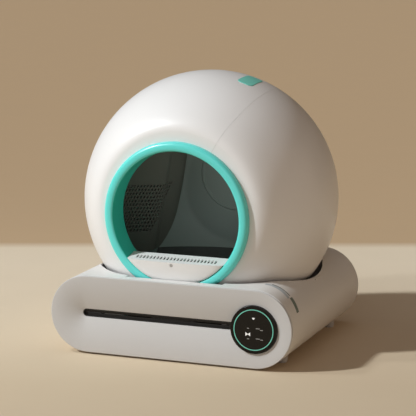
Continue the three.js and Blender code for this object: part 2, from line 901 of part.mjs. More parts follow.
function makeDrive() {
  const y0 = drum.gearSeatY + gap;
  const y1 = y0 + gear.faceWidth;
  const meshAngle = rad(gear.pinionAngle);
  const ringShape = new THREE.Shape(gearOutline(gear.ringTeeth, meshAngle));
  const ringGear = pushed(ringShape, y0, y1).translate([0, 0, globe.axisHeight]);
  const bore = bar(gear.seatRadius, y0 - cut, y1 + cut, 0, globe.axisHeight, drum.segments);
  piece('ring_gear', ringGear.subtract(bore), finishes.nylon);

  const [x, z] = fromBottom(gearCentreDistance, gear.pinionAngle);
  const halfTooth = Math.PI / gear.pinionTeeth;
  const pinionShape = new THREE.Shape(gearOutline(gear.pinionTeeth, meshAngle + Math.PI + halfTooth));
  const pinion = pushed(pinionShape, y0, y1).translate([x, 0, z]);
  const plateY = y1 + motor.shaftGap;
  const boxY = plateY + motor.plateThickness + gap;
  const shaft = bar(gear.shaftRadius, y1 - gear.faceWidth / 2, boxY - gap, x, z);
  piece('drive_pinion', pinion.add(shaft), finishes.nylon);

  const half = motor.plateWidth / 2;
  const plate = block(x - half, x + half, plateY, plateY + motor.plateThickness, floorTop + gap,
    z + motor.plateHeight / 2);
  const ledge = block(x - half, x + half, plateY, boxY + motor.boxLength, floorTop + gap,
    floorTop + gap + motor.plateThickness);
  const shaftHole = bar(gear.shaftRadius + gap * 2, plateY - cut, plateY + cut, x, z);
  piece('motor_bracket', plate.add(ledge).subtract(shaftHole), finishes.steel);
  piece('gearbox', bar(motor.boxRadius, boxY, boxY + motor.boxLength, x, z, motor.segments),
    finishes.innerGrey);
  const motorY = boxY + motor.boxLength + gap;
  const tailEnd = bodyRearY - motor.rearGap;
  const can = bar(motor.radius, motorY, tailEnd - motor.tailLength, x, z, motor.segments);
  const tail = bar(motor.tailRadius, motorY, tailEnd, x, z);
  piece('gear_motor', can.add(tail), finishes.steel);
}

// Four flanged rollers carry the drum on its two tracks.
function makeRollers() {
  const distance = trackRadius + roller.runningGap + roller.radius;
  const sides = [['left', -1], ['right', 1]];
  const ends = [['front', drum.frontTrackY, -1], ['rear', drum.rearTrackY, 1]];
  ends.forEach(([endName, trackY, outward]) => sides.forEach(([sideName, sign]) => {
    const name = `${endName}_${sideName}`;
    const [x, z] = fromBottom(distance, roller.angle * sign);
    const y0 = trackY + gap * 2;
    const y1 = trackY + drum.trackWidth - gap * 2;
    const flangeEdge = outward < 0 ? trackY - gap * 2 : trackY + drum.trackWidth + gap * 2;
    const flangeEnd = flangeEdge + roller.flangeWidth * outward;
    const low = Math.min(y0, flangeEnd);
    const high = Math.max(y1, flangeEnd);
    const tread = bar(roller.radius, low, high, x, z);
    const flange = bar(roller.radius + roller.flangeRise, Math.min(flangeEdge, flangeEnd),
      Math.max(flangeEdge, flangeEnd), x, z);
    const bore = bar(roller.boreRadius, low - cut, high + cut, x, z);
    piece(`roller_${name}`, tread.add(flange).subtract(bore), finishes.nylon);

    const standLow = low - roller.sideGap - roller.standThickness;
    const standHigh = high + roller.sideGap + roller.standThickness;
    piece(`axle_${name}`, bar(roller.axleRadius, standLow, standHigh, x, z, roller.axleSegments),
      finishes.steel);

    const half = roller.standWidth / 2;
    const cheeks = block(x - half, x + half, standLow, standHigh, 0, z + roller.standTop);
    const between = block(x - half - cut, x + half + cut, low - roller.sideGap, high + roller.sideGap,
      z - roller.radius - roller.flangeRise - roller.yokeGap, z + roller.radius * 2);
    const axleHole = bar(roller.boreRadius, standLow - cut, standHigh + cut, x, z, roller.axleSegments);
    const inside = pushed(stadium(endRadius - base.wall - gap), standLow - cut, standHigh + cut);
    const drumRoom = bar(trackRadius + gap * 2, standLow - cut, standHigh + cut, 0, globe.axisHeight,
      drum.segments * 2);
    piece(`stand_${name}`, cheeks.subtract(between).subtract(axleHole).intersect(inside).subtract(drumRoom),
      finishes.innerGrey);
  }));
}

// The curved deck under the drum, with the chute that drops the waste into the bin.
function makeDeck() {
  const shape = new THREE.Shape();
  const from = -deck.leftAngle;
  const span = deck.leftAngle + deck.rightAngle;
  const arc = (radius) => Array.from({ length: deck.arcSteps + 1 }, (unused, i) => {
    const [x, z] = fromBottom(radius, from + span * i / deck.arcSteps);
    return new THREE.Vector2(x, z);
  });
  const low = floorTop + gap;
  const lower = arc(deckOuter).reverse();
  const left = lower[deck.arcSteps].x;
  const right = lower[0].x;
  const innerLeft = left + deck.thickness;
  const innerRight = right - deck.thickness;
  const under = (x) => globe.axisHeight - Math.sqrt(deckOuter ** 2 - x ** 2);
  const points = [
    ...arc(deckInner),
    new THREE.Vector2(right, under(right)),
    new THREE.Vector2(right, low),
    new THREE.Vector2(innerRight, low),
    new THREE.Vector2(innerRight, under(innerRight)),
    ...lower.slice(1, -1),
    new THREE.Vector2(innerLeft, under(innerLeft)),
    new THREE.Vector2(innerLeft, low),
    new THREE.Vector2(left, low),
    new THREE.Vector2(left, under(left)),
  ];
  shape.setFromPoints(points);
  const plate = pushed(shape, deck.frontY, deck.rearY);
  const hole = block(-deck.holeHalfWidth, deck.holeHalfWidth, port.frontY - port.frameWidth,
    port.rearY + port.frameWidth, 0, globe.axisHeight);
  piece('chute_deck', plate.subtract(hole), finishes.innerGrey);
}

// Base

function makeBase() {
  const outer = pushed(stadium(endRadius), bodyFrontY, bodyRearY);
  const inner = pushed(stadium(endRadius - base.wall), bodyFrontY - cut, bodyRearY + cut);
  const skin = outer.subtract(inner);
  const far = base.width;
  const above = (z) => block(-far, far, -far, far, z, far);
  const below = (z) => block(-far, far, -far, far, -far, z);
  const well = globeSpace(base.wellGap);
  const collarRoom = bar(collar.outerRadius + base.wellGap, globe.faceY - collar.lipDepth - base.collarGap,
    0, 0, globe.axisHeight, collar.segments);
  const shelfTop = rimHeight - gap;
  const shelf = block(-far, far, globe.centreY - base.shelfWidth / 2, globe.centreY + base.shelfWidth / 2,
    shelfTop - base.shelfThickness, shelfTop);
  const shelfInner = Math.sqrt(globe.radius ** 2 - (globeHeight - shelfTop) ** 2) - base.shelfReach;
  const shelfCut = block(-shelfInner, shelfInner, -far, far, 0, far);
  const shelves = shelf.subtract(shelfCut).intersect(pushed(stadium(endRadius - base.wall / 2), -far, far));
  const cover = skin.subtract(well).subtract(collarRoom).intersect(above(base.seamHeight + gap / 2))
    .add(shelves);
  piece('base_cover', cover, finishes.white);

  const railHalf = rail.width / 2;
  const rails = [binLeftX + rail.inset, binRightX - rail.inset].map((x) => block(x - railHalf, x + railHalf,
    bulkheadY, binRearY, base.lift + base.wall / 2, floorTop + rail.rise));
  const tray = skin.intersect(below(base.seamHeight - gap / 2)).add(rails[0]).add(rails[1]);
  piece('base_tray', tray, finishes.white);

  const plate = pushed(stadium(endRadius - base.wall - bulkhead.radiusGap), bulkheadY,
    bulkheadY + bulkhead.thickness);
  const binHole = block(binLeftX - bulkhead.binGap, binRightX + bulkhead.binGap, -far, far,
    floorTop - bulkhead.binGap, binTop + bulkhead.binGap);
  const cableHole = bar(bulkhead.cableRadius, bulkheadY - cut, bulkheadY + cut, podX, midHeight);
  piece('front_bulkhead', plate.subtract(binHole).subtract(cableHole), finishes.innerGrey);

  const rearPlate = new THREE.ExtrudeGeometry(stadium(endRadius - rear.edge), {
    depth: rear.thickness - rear.edge,
    bevelThickness: rear.edge / 2,
    bevelSize: rear.edge,
    bevelSegments: 1,
    curveSegments: base.endSegments,
  });
  rearPlate.rotateX(Math.PI / 2);
  rearPlate.translate(0, rearY - rear.edge / 2, 0);
  const inletHole = bar(rear.inletRadius + gap, bodyRearY - cut, rearY + cut, inletX, rear.inletHeight);
  piece('rear_cover', solid(rearPlate).subtract(inletHole), finishes.white);
}

function makeInlet() {
  const inside = bodyRearY - rear.inletLength;
  const barrel = bar(rear.inletRadius, inside, rearY - rear.edge / 2, inletX, rear.inletHeight);
  const flange = bar(rear.inletFlange, bodyRearY - rear.inletWall, bodyRearY, inletX,
    rear.inletHeight);
  const bore = bar(rear.inletBore, inside + rear.inletWall, rearY + cut, inletX, rear.inletHeight);
  const pin = bar(rear.inletPin, inside, rearY - rear.edge, inletX, rear.inletHeight,
    roller.axleSegments);
  piece('power_inlet', barrel.add(flange).subtract(bore).add(pin), finishes.black);
}

function makeBoard() {
  const middleX = -endX - board.reach;
  const middleY = rearY - board.rearInset;
  const [x0, x1] = [middleX - board.width / 2, middleX + board.width / 2];
  const [y0, y1] = [middleY - board.length / 2, middleY + board.length / 2];
  const card = block(x0, x1, y0, y1, board.height, board.height + board.thickness);
  const chip = block(middleX - board.chipSize / 2, middleX + board.chipSize / 2, middleY - board.chipSize / 2,
    middleY + board.chipSize / 2, board.height, board.height + board.thickness + board.chipHeight);
  let shape = card.add(chip);
  const inside = pushed(stadium(endRadius - base.wall - gap), y0 - cut, y1 + cut);
  [x0 + board.postInset, x1 - board.postInset].forEach((x) => {
    [y0 + board.postInset, y1 - board.postInset].forEach((y) => {
      const post = new THREE.CylinderGeometry(board.postRadius, board.postRadius, board.height,
        roller.axleSegments);
      post.rotateX(Math.PI / 2);
      post.translate(x, y, board.height / 2 + board.thickness / 2);
      shape = shape.add(solid(post).intersect(inside));
    });
  });
  piece('control_board', shape, finishes.boardGreen);
}

// An upright round post.
function post(radius, x, y, z0, z1) {
  const geometry = new THREE.CylinderGeometry(radius, radius, z1 - z0, foot.segments);
  geometry.rotateX(Math.PI / 2);
  geometry.translate(x, y, (z0 + z1) / 2);
  return solid(geometry);
}

function makeFeet() {
  const room = pushed(stadium(endRadius + gap), -base.depth, base.depth);
  const ends = [['front', frontY + foot.frontInset], ['rear', rearY - foot.rearInset]];
  const sides = [['left', -1], ['right', 1]];
  ends.forEach(([endName, y]) => sides.forEach(([sideName, sign]) => {
    const x = (base.width / 2 - foot.sideInset) * sign;
    const body = post(foot.radius, x, y, foot.padHeight, midHeight / 2);
    const pad = post(foot.radius - foot.padInset, x, y, 0, foot.padHeight + gap);
    piece(`foot_${endName}_${sideName}`, body.subtract(room).add(pad), finishes.white);
  }));
}

// Control pod at the right end of the front

function makePod() {
  const podFront = frontY - pod.proud;
  const shellBack = bulkheadY;
  const lensBack = podFront + pod.lensThickness;
  const cupBore = pod.radius - pod.wall;
  const shell = bar(pod.radius, podFront, shellBack - gap, podX, midHeight, pod.segments);
  const bore = bar(cupBore, podFront - cut, shellBack - pod.wall, podX, midHeight, pod.segments);
  piece('pod_housing', shell.subtract(bore), finishes.black);

  const lens = bar(cupBore - gap, podFront, lensBack, podX, midHeight, pod.segments);
  const groove = ring(pod.lightOuterRadius + gap, pod.lightInnerRadius - gap, podFront - cut,
    podFront + pod.lensThickness / 2, podX, midHeight, pod.segments);
  piece('pod_lens', lens.subtract(groove), finishes.black);
  piece('light_ring', ring(pod.lightOuterRadius, pod.lightInnerRadius, podFront,
    podFront + pod.lensThickness / 2 - gap, podX, midHeight, pod.segments), finishes.glow);
  const boardY = lensBack + gap;
  const card = bar(pod.boardRadius, boardY, boardY + pod.boardThickness, podX, midHeight, motor.segments);
  const stem = bar(pod.stemRadius, boardY, shellBack - pod.wall - gap, podX, midHeight);
  piece('pod_board', card.add(stem), finishes.boardGreen);
}

// Drawer

// A closed skin over a row of rings that all have the same number of points.
function lofted(rings) {
  const count = rings[0].length;
  const positions = [];
  rings.forEach((points) => points.forEach((p) => positions.push(p.x, p.y, p.z)));
  const index = [];
  for (let k = 0; k < rings.length - 1; k += 1) {
    for (let i = 0; i < count; i += 1) {
      const next = (i + 1) % count;
      const [a, b] = [k * count + i, k * count + next];
      index.push(a, b, b + count, a, b + count, a + count);
    }
  }
  const last = (rings.length - 1) * count;
  for (let i = 1; i < count - 1; i += 1) {
    index.push(0, i + 1, i);
    index.push(last, last + i, last + i + 1);
  }
  const geometry = new THREE.BufferGeometry();
  geometry.setAttribute('position', new THREE.BufferAttribute(new Float32Array(positions), 3));
  geometry.setIndex(index);
  return solid(geometry);
}

function stadiumRing(radius, leftX, rightX, y) {
  const points = stadium(radius, leftX, rightX).extractPoints(base.endSegments).shape;
  return points.map((p) => new THREE.Vector3(p.x, y, p.y));
}

function makeDrawerFront() {
  const rimBack = frontY + drawer.faceThickness;
  const lipBack = frontY + drawer.lipThickness;
  const lip = pushed(stadium(endRadius), frontY, lipBack);
  const plug = pushed(stadium(endRadius - base.wall - drawer.plugGap), lipBack - gap, rimBack);
  const rim = lip.add(plug);
  const bulge = lofted([
    stadiumRing(endRadius - drawer.bulgeInset, -endX, endX, rimBack - gap),
    stadiumRing(drawer.slotRadius + drawer.bulgeInset, slotLeftX, endX, faceBackY),
  ]);
  const dishMiddle = (endRadius - drawer.dishRim + drawer.slotRadius) / 2;
  const dish = lofted([
    stadiumRing(endRadius - drawer.dishRim + drawer.slotRadius, -endX, endX,
      frontY - drawer.slotRadius * drawer.dishDepth / endRadius),
    stadiumRing(endRadius - drawer.dishRim, -endX, endX, frontY),
    stadiumRing(dishMiddle, (slotLeftX - endX) / 2, endX, frontY + drawer.dishDepth * drawer.dishBendShare),
    stadiumRing(drawer.slotRadius, slotLeftX, endX, frontY + drawer.dishDepth),
  ]);
  const slot = pushed(stadium(drawer.slotRadius, slotLeftX, podX), frontY - cut, faceBackY + cut);
  const podHole = bar(pod.radius + gap * 2, frontY - cut, faceBackY + cut, podX, midHeight, pod.segments);
  piece('drawer_front', rim.add(bulge).subtract(dish).subtract(slot).subtract(podHole), finishes.white);
}

// The dark lining of the finger slot.
function makeSlotLiner() {
  const flangeY = faceBackY + gap;
  const r = drawer.slotRadius;
  const rightX = podX - pod.radius - r - drawer.slotLip;
  const sleeve = pushed(stadium(r - gap, slotLeftX, rightX), frontY + drawer.dishDepth + gap,
    flangeY + gap);
  const flange = pushed(stadium(r + drawer.slotLip, slotLeftX, rightX), flangeY, slotBackY);
  const hollow = pushed(stadium(r - drawer.slotWall, slotLeftX, rightX), frontY,
    slotBackY - drawer.slotWall / 2);
  piece('slot_liner', sleeve.add(flange).subtract(hollow), finishes.black);
}

function makeDrawerSeal() {
  const rimBack = frontY + drawer.faceThickness + gap;
  const outer = endRadius - seal.outerInset;
  const band = pushed(stadium(outer), rimBack, rimBack + seal.thickness)
    .subtract(pushed(stadium(outer - seal.width), rimBack - cut, rimBack + seal.thickness + cut));
  piece('drawer_seal', band, finishes.rubber);
}

// The waste bin. Its open top follows the curve of the deck that it passes under.
function makeBin() {
  const deckRoom = bar(deckOuter + drawer.binDeckGap, binFrontY - cut, rearY, 0, globe.axisHeight,
    drum.segments);
  const outer = block(binLeftX, binRightX, binFrontY, binRearY, binFloor, binTop);
  const wall = drawer.binWall;
  const inner = block(binLeftX + wall, binRightX - wall, binFrontY + wall, binRearY - wall,
    binFloor + wall, topHeight);
  piece('waste_bin', outer.subtract(inner).subtract(deckRoom), finishes.innerGrey);

  const ringOuter = deckOuter + drawer.binDeckGap - gap;
  const band = ring(ringOuter, ringOuter - bagRing.thickness, binFrontY, binRearY, 0,
    globe.axisHeight, drum.segments);
  const plan = block(binLeftX, binRightX, binFrontY, binRearY, 0, globe.axisHeight);
  const inset = bagRing.inset;
  const hole = block(binLeftX + inset, binRightX - inset, binFrontY + inset, binRearY - inset, 0,
    globe.axisHeight);
  piece('bag_ring', band.intersect(plan).subtract(hole), finishes.innerGrey);

  const half = filterBox.width / 2;
  const box = block(-half, half, binFrontY, binFrontY + filterBox.depth, 0, filterTop);
  const seat = bar(ringOuter - bagRing.thickness - gap, binFrontY - cut, rearY, 0, globe.axisHeight,
    drum.segments);
  piece('filter_box', box.intersect(seat), finishes.carbon);
}

makeGlobe();
makeCollar();
makeStep();
makeLatch();
makeDrum();
makeLiner();
makeSieve();
makePortFrame();
makeDrive();
makeRollers();
makeDeck();
makeBase();
makeInlet();
makeBoard();
makeFeet();
makePod();
makeDrawerFront();
makeSlotLiner();
makeDrawerSeal();
makeBin();

export default product;
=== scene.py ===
"""Looks of the self cleaning litter box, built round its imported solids.

Lengths are metres in the frame of the solids: +Z up, the front towards -Y, the floor at
zero. Angles about the drum's axis are degrees from straight up, towards +X.
"""

import functools
import logging
import math
from collections.abc import Iterable, Sequence
from dataclasses import dataclass, field
from enum import Enum

import bmesh
import bpy
from mathutils import Matrix, Vector


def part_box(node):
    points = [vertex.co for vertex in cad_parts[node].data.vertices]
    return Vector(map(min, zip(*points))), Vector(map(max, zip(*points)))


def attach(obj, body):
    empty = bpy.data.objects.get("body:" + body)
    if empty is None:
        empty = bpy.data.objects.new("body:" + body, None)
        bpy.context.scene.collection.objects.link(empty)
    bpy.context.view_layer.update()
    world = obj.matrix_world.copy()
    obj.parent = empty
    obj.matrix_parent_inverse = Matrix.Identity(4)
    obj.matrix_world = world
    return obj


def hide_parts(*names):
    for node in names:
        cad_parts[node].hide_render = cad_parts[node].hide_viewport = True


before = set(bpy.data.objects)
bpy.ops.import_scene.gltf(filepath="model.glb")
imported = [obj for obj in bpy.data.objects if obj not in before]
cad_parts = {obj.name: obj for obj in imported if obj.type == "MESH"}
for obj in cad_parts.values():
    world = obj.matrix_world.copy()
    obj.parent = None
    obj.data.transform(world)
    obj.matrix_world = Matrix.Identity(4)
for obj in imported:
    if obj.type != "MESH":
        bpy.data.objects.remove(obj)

LOG = logging.getLogger("litter_box")

# Places and sizes that several pieces share
AXIS_Z = 0.293
MIDDLE_Z = 0.085
END_X = 0.184
END_RADIUS = 0.081
FRONT_Y = -0.229
REAR_Y = 0.231
GAP = 0.0003
CUT = 0.005
FAR = 1.0
BEFORE = -0.3
BEHIND = 0.3
CORE = 0.0004
PIN_CORE = 0.0003

Profile = Sequence[tuple[float, float]]
Points = list[tuple[float, float]]
Tint = tuple[float, float, float]
Row = list[Vector]
Settings = dict[str, object]
Inputs = dict[str | int, object]


class Cut(Enum):
    """What a tool does to a form."""

    AWAY = "DIFFERENCE"
    COMMON = "INTERSECT"
    JOIN = "UNION"


class Side(Enum):
    """The two sides of the box, as signs along X."""

    LEFT = -1
    RIGHT = 1


# Shader tools


@dataclass(frozen=True, eq=False)
class Wire:
    """An output socket of a shader, whose arithmetic adds Math nodes."""

    shader: "Shader"
    socket: bpy.types.NodeSocket

    def _maths(self, operation: str, first: "Term", second: "Term") -> "Wire":
        """Add a Math node."""
        made = self.shader.node("ShaderNodeMath", {"operation": operation}, {0: first, 1: second})
        return Wire(self.shader, made.outputs[0])

    def __add__(self, other: "Term") -> "Wire":
        """Add."""
        return self._maths("ADD", self, other)

    def __radd__(self, other: float) -> "Wire":
        """Add to a number."""
        return self._maths("ADD", other, self)

    def __sub__(self, other: "Term") -> "Wire":
        """Subtract."""
        return self._maths("SUBTRACT", self, other)

    def __rsub__(self, other: float) -> "Wire":
        """Subtract from a number."""
        return self._maths("SUBTRACT", other, self)

    def __mul__(self, other: "Term") -> "Wire":
        """Multiply."""
        return self._maths("MULTIPLY", self, other)

    def __rmul__(self, other: float) -> "Wire":
        """Multiply a number."""
        return self._maths("MULTIPLY", other, self)

    def __gt__(self, other: "Term") -> "Wire":
        """Give 1 where the value is above another."""
        return self._maths("GREATER_THAN", self, other)

    def __lt__(self, other: "Term") -> "Wire":
        """Give 1 where the value is below another."""
        return self._maths("LESS_THAN", self, other)

    def between(self, low: float, high: float) -> "Wire":
        """Give 1 where the value lies between two numbers."""
        return (self > low) * (self < high)


Term = Wire | float


class Shader:
    """The node tree of one material."""

    def __init__(self, name: str) -> None:
        """Start a material.

        Args:
            name: The material's name.
        """
        self.material = bpy.data.materials.new(name)
        self.material.use_nodes = True
        self.tree = self.material.node_tree
        self.surface = self.tree.nodes["Principled BSDF"]

    def node(
        self, kind: str, settings: Settings | None = None, inputs: Inputs | None = None
    ) -> bpy.types.Node:
        """Add a node.

        Args:
            kind: The node's type.
            settings: Its settings, set first.
            inputs: The values or links of its sockets.

        Returns:
            The node.
        """
        made = self.tree.nodes.new(kind)
        for name, value in (settings or {}).items():
            setattr(made, name, value)
        for name, value in (inputs or {}).items():
            self.feed(made.inputs[name], value)
        return made

    def feed(self, socket: bpy.types.NodeSocket, value: object) -> None:
        """Set a socket's value, or link it.

        Args:
            socket: The input socket.
            value: A number, a colour, a vector or a wire.
        """
        if isinstance(value, Wire):
            self.tree.links.new(value.socket, socket)
        else:
            socket.default_value = value

    def wire(self, made: bpy.types.Node, output: str | int = 0) -> Wire:
        """Wrap one output of a node."""
        return Wire(self, made.outputs[output])

    def place(self) -> Wire:
        """Give the point on the surface, in metres."""
        return self.wire(self.node("ShaderNodeTexCoord"), "Object")

    def axes(self) -> tuple[Wire, Wire, Wire]:
        """Give the point's X, Y and Z."""
        made = self.node("ShaderNodeSeparateXYZ", None, {0: self.place()})
        return self.wire(made, 0), self.wire(made, 1), self.wire(made, 2)

    def noise(self, pitch: float, detail: float, stretch: Sequence[float] = (1, 1, 1)) -> Wire:
        """Give a smooth noise.

        Args:
            pitch: The size of its features, in metres.
            detail: How many finer octaves are added.
            stretch: How many times finer it is along each axis.

        Returns:
            A value of about 0.5 that varies from 0 to 1.
        """
        moved = self.node("ShaderNodeMapping", None, {"Vector": self.place(), "Scale": tuple(stretch)})
        inputs = {"Vector": self.wire(moved), "Scale": 1 / pitch, "Detail": detail}
        return self.wire(self.node("ShaderNodeTexNoise", None, inputs), 0)

    def blend(self, share: Term, first: object, second: object) -> Wire:
        """Mix two colours."""
        made = self.node("ShaderNodeMix", {"data_type": "RGBA"}, {0: share, 6: first, 7: second})
        return self.wire(made, 2)

    def shades(self, share: Wire, code: str, low: float, high: float) -> Wire:
        """Vary one colour between a darker and a lighter shade of it."""
        return self.blend(share, tone(code, low), tone(code, high))

    def cells(self, scale: float, **settings: object) -> Wire:
        """Give the distance from the middle of the nearest cell."""
        made = self.node("ShaderNodeTexVoronoi", settings, {"Vector": self.place(), "Scale": scale})
        return self.wire(made, "Distance")

    def clamp(self, value: Term) -> Wire:
        """Keep a value between nothing and one."""
        return self.wire(self.node("ShaderNodeClamp", None, {0: value}))

    def bump(self, height: Term, depth: float, strength: float = 1.0) -> None:
        """Raise the surface by a height map."""
        inputs = {"Height": height, "Distance": depth, "Strength": strength}
        self.feed(self.surface.inputs["Normal"], self.wire(self.node("ShaderNodeBump", None, inputs)))

    def set(self, **values: object) -> None:
        """Set the main shader's sockets, with _ for a space in their names."""
        for name, value in values.items():
            self.feed(self.surface.inputs[name.replace("_", " ")], value)


def tone(code: str, factor: float = 1.0) -> tuple[float, float, float, float]:
    """Turn a colour as seen on a screen into the shader's linear colour.

    Args:
        code: Six hexadecimal digits.
        factor: What the linear colour is multiplied by.

    Returns:
        Red, green, blue and alpha.
    """
    parts = [int(code[i : i + 2], 16) / 255 for i in (0, 2, 4)]
    linear = [p / 12.92 if p <= 0.04045 else ((p + 0.055) / 1.055) ** 2.4 for p in parts]
    return (*(min(1.0, p * factor) for p in linear), 1.0)


# Finishes


@dataclass(frozen=True)
class Finish:
    """The look of a surface, with the names of its material and its slot."""

    name: str
    slot: str

    def dress(self, shader: Shader) -> None:
        """Set the shader's sockets."""
        raise NotImplementedError

    def material(self) -> bpy.types.Material:
        """Build the material."""
        shader = Shader(self.name)
        self.dress(shader)
        return shader.material


@dataclass(frozen=True)
class Moulded(Finish):
    """Moulded plastic with a fine grain, faint mottling and rubbed patches."""

    colour: str
    roughness: float = 0.45
    mottle: float = 0.03
    grain: float = 0.0009
    depth: float = 0.00004
    coat: float = 0.0
    dust: float = 0.0
    coat_roughness: float = 0.12
    patch: float = 0.09
    rubbed_patch: float = 0.03
    rubbed: float = 0.12
    dust_patch: float = 0.012
    dust_fade: float = 22.0
    dust_colour: str = "9a8d7d"

    def base_colour(self, shader: Shader) -> Wire:
        """Give the mottled colour, with a little dust low down.

        Args:
            shader: The shader to build in.

        Returns:
            The colour.
        """
        mixed = shader.shades(shader.noise(self.patch, 3), self.colour, 1 - self.mottle, 1 + self.mottle)
        if not self.dust:
            return mixed
        _, _, height = shader.axes()
        low = (1 - height * self.dust_fade) * shader.noise(self.dust_patch, 4)
        return shader.blend((low > 0) * low * self.dust, mixed, tone(self.dust_colour))

    def dress(self, shader: Shader) -> None:
        """Set the colour, the gloss and the grain.

        Args:
            shader: The shader to dress.
        """
        rough = self.roughness + (shader.noise(self.rubbed_patch, 4) - 0.5) * self.rubbed
        shader.set(Base_Color=self.base_colour(shader), Roughness=rough)
        shader.set(Coat_Weight=self.coat, Coat_Roughness=self.coat_roughness)
        shader.bump(shader.noise(self.grain, 3), self.depth)


@dataclass(frozen=True)
class Stripe:
    """One printed stripe: a leaning band of Y between two heights, outside one X."""

    y: float
    z: float
    lean: float
    band: tuple[float, float]
    heights: tuple[float, float]
    inner_x: float
    strength: float
    colour: str


STRIPES = (
    Stripe(-0.176, 0.146, 0.5, (-0.0045, 0.0060), (0.1435, 1.0), 0.186, 0.75, "8b9ba6"),
    Stripe(-0.1625, 0.150, 0.30, (-0.0030, 0.0026), (0.1455, 1.0), 0.198, 0.9, "4d5f62"),
    Stripe(-0.1625, 0.150, 0.30, (-0.0085, 0.0050), (0.1150, 0.1425), 0.19, 1.0, "3b5b4e"),
)


@dataclass(frozen=True)
class Striped(Moulded):
    """Moulded plastic with plain printed stripes round the right end of the base."""

    worn_patch: float = 0.006
    worn: float = 0.35

    def base_colour(self, shader: Shader) -> Wire:
        """Give the colour with its stripes.

        Args:
            shader: The shader to build in.

        Returns:
            The colour.
        """
        colour = super().base_colour(shader)
        x, y, z = shader.axes()
        worn = shader.noise(self.worn_patch, 3) * self.worn + (1 - self.worn)
        for stripe in STRIPES:
            across = y - stripe.y - (z - stripe.z) * stripe.lean
            shown = across.between(*stripe.band) * z.between(*stripe.heights) * (x > stripe.inner_x)
            colour = shader.blend(shown * worn * stripe.strength, colour, tone(stripe.colour))
        return colour


@dataclass(frozen=True)
class BoreShadedMoulded(Moulded):
    """Moulded plastic with painted shade: a darker, deeper teal inside the entry's bore."""

    # The bore's colour is painted shade: a darker teal where the bore's wall lies in shade.
    bore: str = "26d4be"
    shaded_bore_radius: float = 0.1388

    def base_colour(self, shader: Shader) -> Wire:
        """Give the colour, with painted shade as a darker teal inside the bore.

        Args:
            shader: The shader to build in.

        Returns:
            The colour.
        """
        x, _, z = shader.axes()
        up = z - AXIS_Z
        # Painted shade: everything within the bore's radius takes the darker teal.
        inside = (x * x + up * up) < self.shaded_bore_radius**2
        return shader.blend(inside, super().base_colour(shader), tone(self.bore))


@dataclass(frozen=True)
class Bed(Moulded):
    """A soft dark mat with small raised pips."""

    pip_scale: float = 140.0
    pip_slope: float = 1.4
    pip_height: float = 0.0006
    rubbed_patch: float = 0.02
    rubbed: float = 0.1

    def dress(self, shader: Shader) -> None:
        """Set the colour and the pips.

        Args:
            shader: The shader to dress.
        """
        rough = self.roughness + shader.noise(self.rubbed_patch, 3) * self.rubbed
        shader.set(Base_Color=self.base_colour(shader), Roughness=rough)
        shader.bump(1 - shader.cells(self.pip_scale) * self.pip_slope, self.pip_height, strength=0.6)


@dataclass(frozen=True)
class Gloss(Finish):
    """Polished plastic with faint polishing haze."""

    colour: str
    roughness: float = 0.16
    haze_patch: float = 0.018
    haze: float = 0.07
    shade: float = 0.14
    coat: float = 0.1
    coat_roughness: float = 0.05
    specular: float = 0.3
    grain: float = 0.0016
    depth: float = 0.000012

    def dress(self, shader: Shader) -> None:
        """Set the colour, the gloss and the haze.

        Args:
            shader: The shader to dress.
        """
        haze = shader.noise(self.haze_patch, 4)
        colour = shader.shades(haze, self.colour, 1 - self.shade, 1 + self.shade)
        shader.set(Base_Color=colour, Roughness=self.roughness + haze * self.haze)
        shader.set(Coat_Weight=self.coat, Coat_Roughness=self.coat_roughness)
        shader.set(Specular_IOR_Level=self.specular)
        shader.bump(shader.noise(self.grain, 2), self.depth, strength=0.6)


@dataclass(frozen=True)
class Lit(Finish):
    """A lit light guide or a lit symbol."""

    colour: str
    strength: float
    patch: float = 0.012
    dim: float = 0.82
    bright: float = 1.1
    roughness: float = 0.35
    grain: float = 0.002
    depth: float = 0.00002

    def dress(self, shader: Shader) -> None:
        """Set the glow.

        Args:
            shader: The shader to dress.
        """
        spread = shader.noise(self.patch, 2)
        glow = shader.shades(spread, self.colour, self.dim, self.bright)
        shader.set(Base_Color=glow, Roughness=self.roughness + spread * 0.1)
        shader.set(Emission_Color=glow, Emission_Strength=self.strength)
        shader.bump(shader.noise(self.grain, 2), self.depth)


@dataclass(frozen=True)
class Metal(Finish):
    """Drawn or rolled steel with fine lines along one axis."""

    colour: str = "b9b7b2"
    lines: tuple[float, float, float] = (1, 0.04, 1)
    line_pitch: float = 0.0007
    stain_patch: float = 0.02
    dull: float = 0.85
    bright: float = 1.08
    roughness: float = 0.28
    depth: float = 0.00002

    def dress(self, shader: Shader) -> None:
        """Set the stained metal and its lines.

        Args:
            shader: The shader to dress.
        """
        streaks = shader.noise(self.line_pitch, 3, self.lines)
        colour = shader.shades(shader.noise(self.stain_patch, 3), self.colour, self.dull, self.bright)
        shader.set(Base_Color=colour, Metallic=1.0, Roughness=self.roughness + streaks * 0.2)
        shader.bump(streaks, self.depth, strength=0.7)


@dataclass(frozen=True)
class Board(Finish):
    """A circuit board: green mask with paler tracks and copper pads."""

    cell_scale: float = 160.0
    track: tuple[float, float] = (0.42, 0.5)
    pad: float = 0.1
    roughness: float = 0.42
    depth: float = 0.00006

    def dress(self, shader: Shader) -> None:
        """Set the mask, the tracks and the pads.

        Args:
            shader: The shader to dress.
        """
        near = shader.cells(self.cell_scale, distance="MANHATTAN")
        tracks, pads = near.between(*self.track), near < self.pad
        green = shader.blend(shader.noise(0.01, 2), tone("17432c"), tone("1f5a3a"))
        colour = shader.blend(pads, shader.blend(tracks * 0.6, green, tone("3c8a5c")), tone("c79a55"))
        shader.set(Base_Color=colour, Roughness=self.roughness - pads * 0.15, Metallic=pads * 0.8)
        shader.bump(tracks + pads, self.depth, strength=0.7)


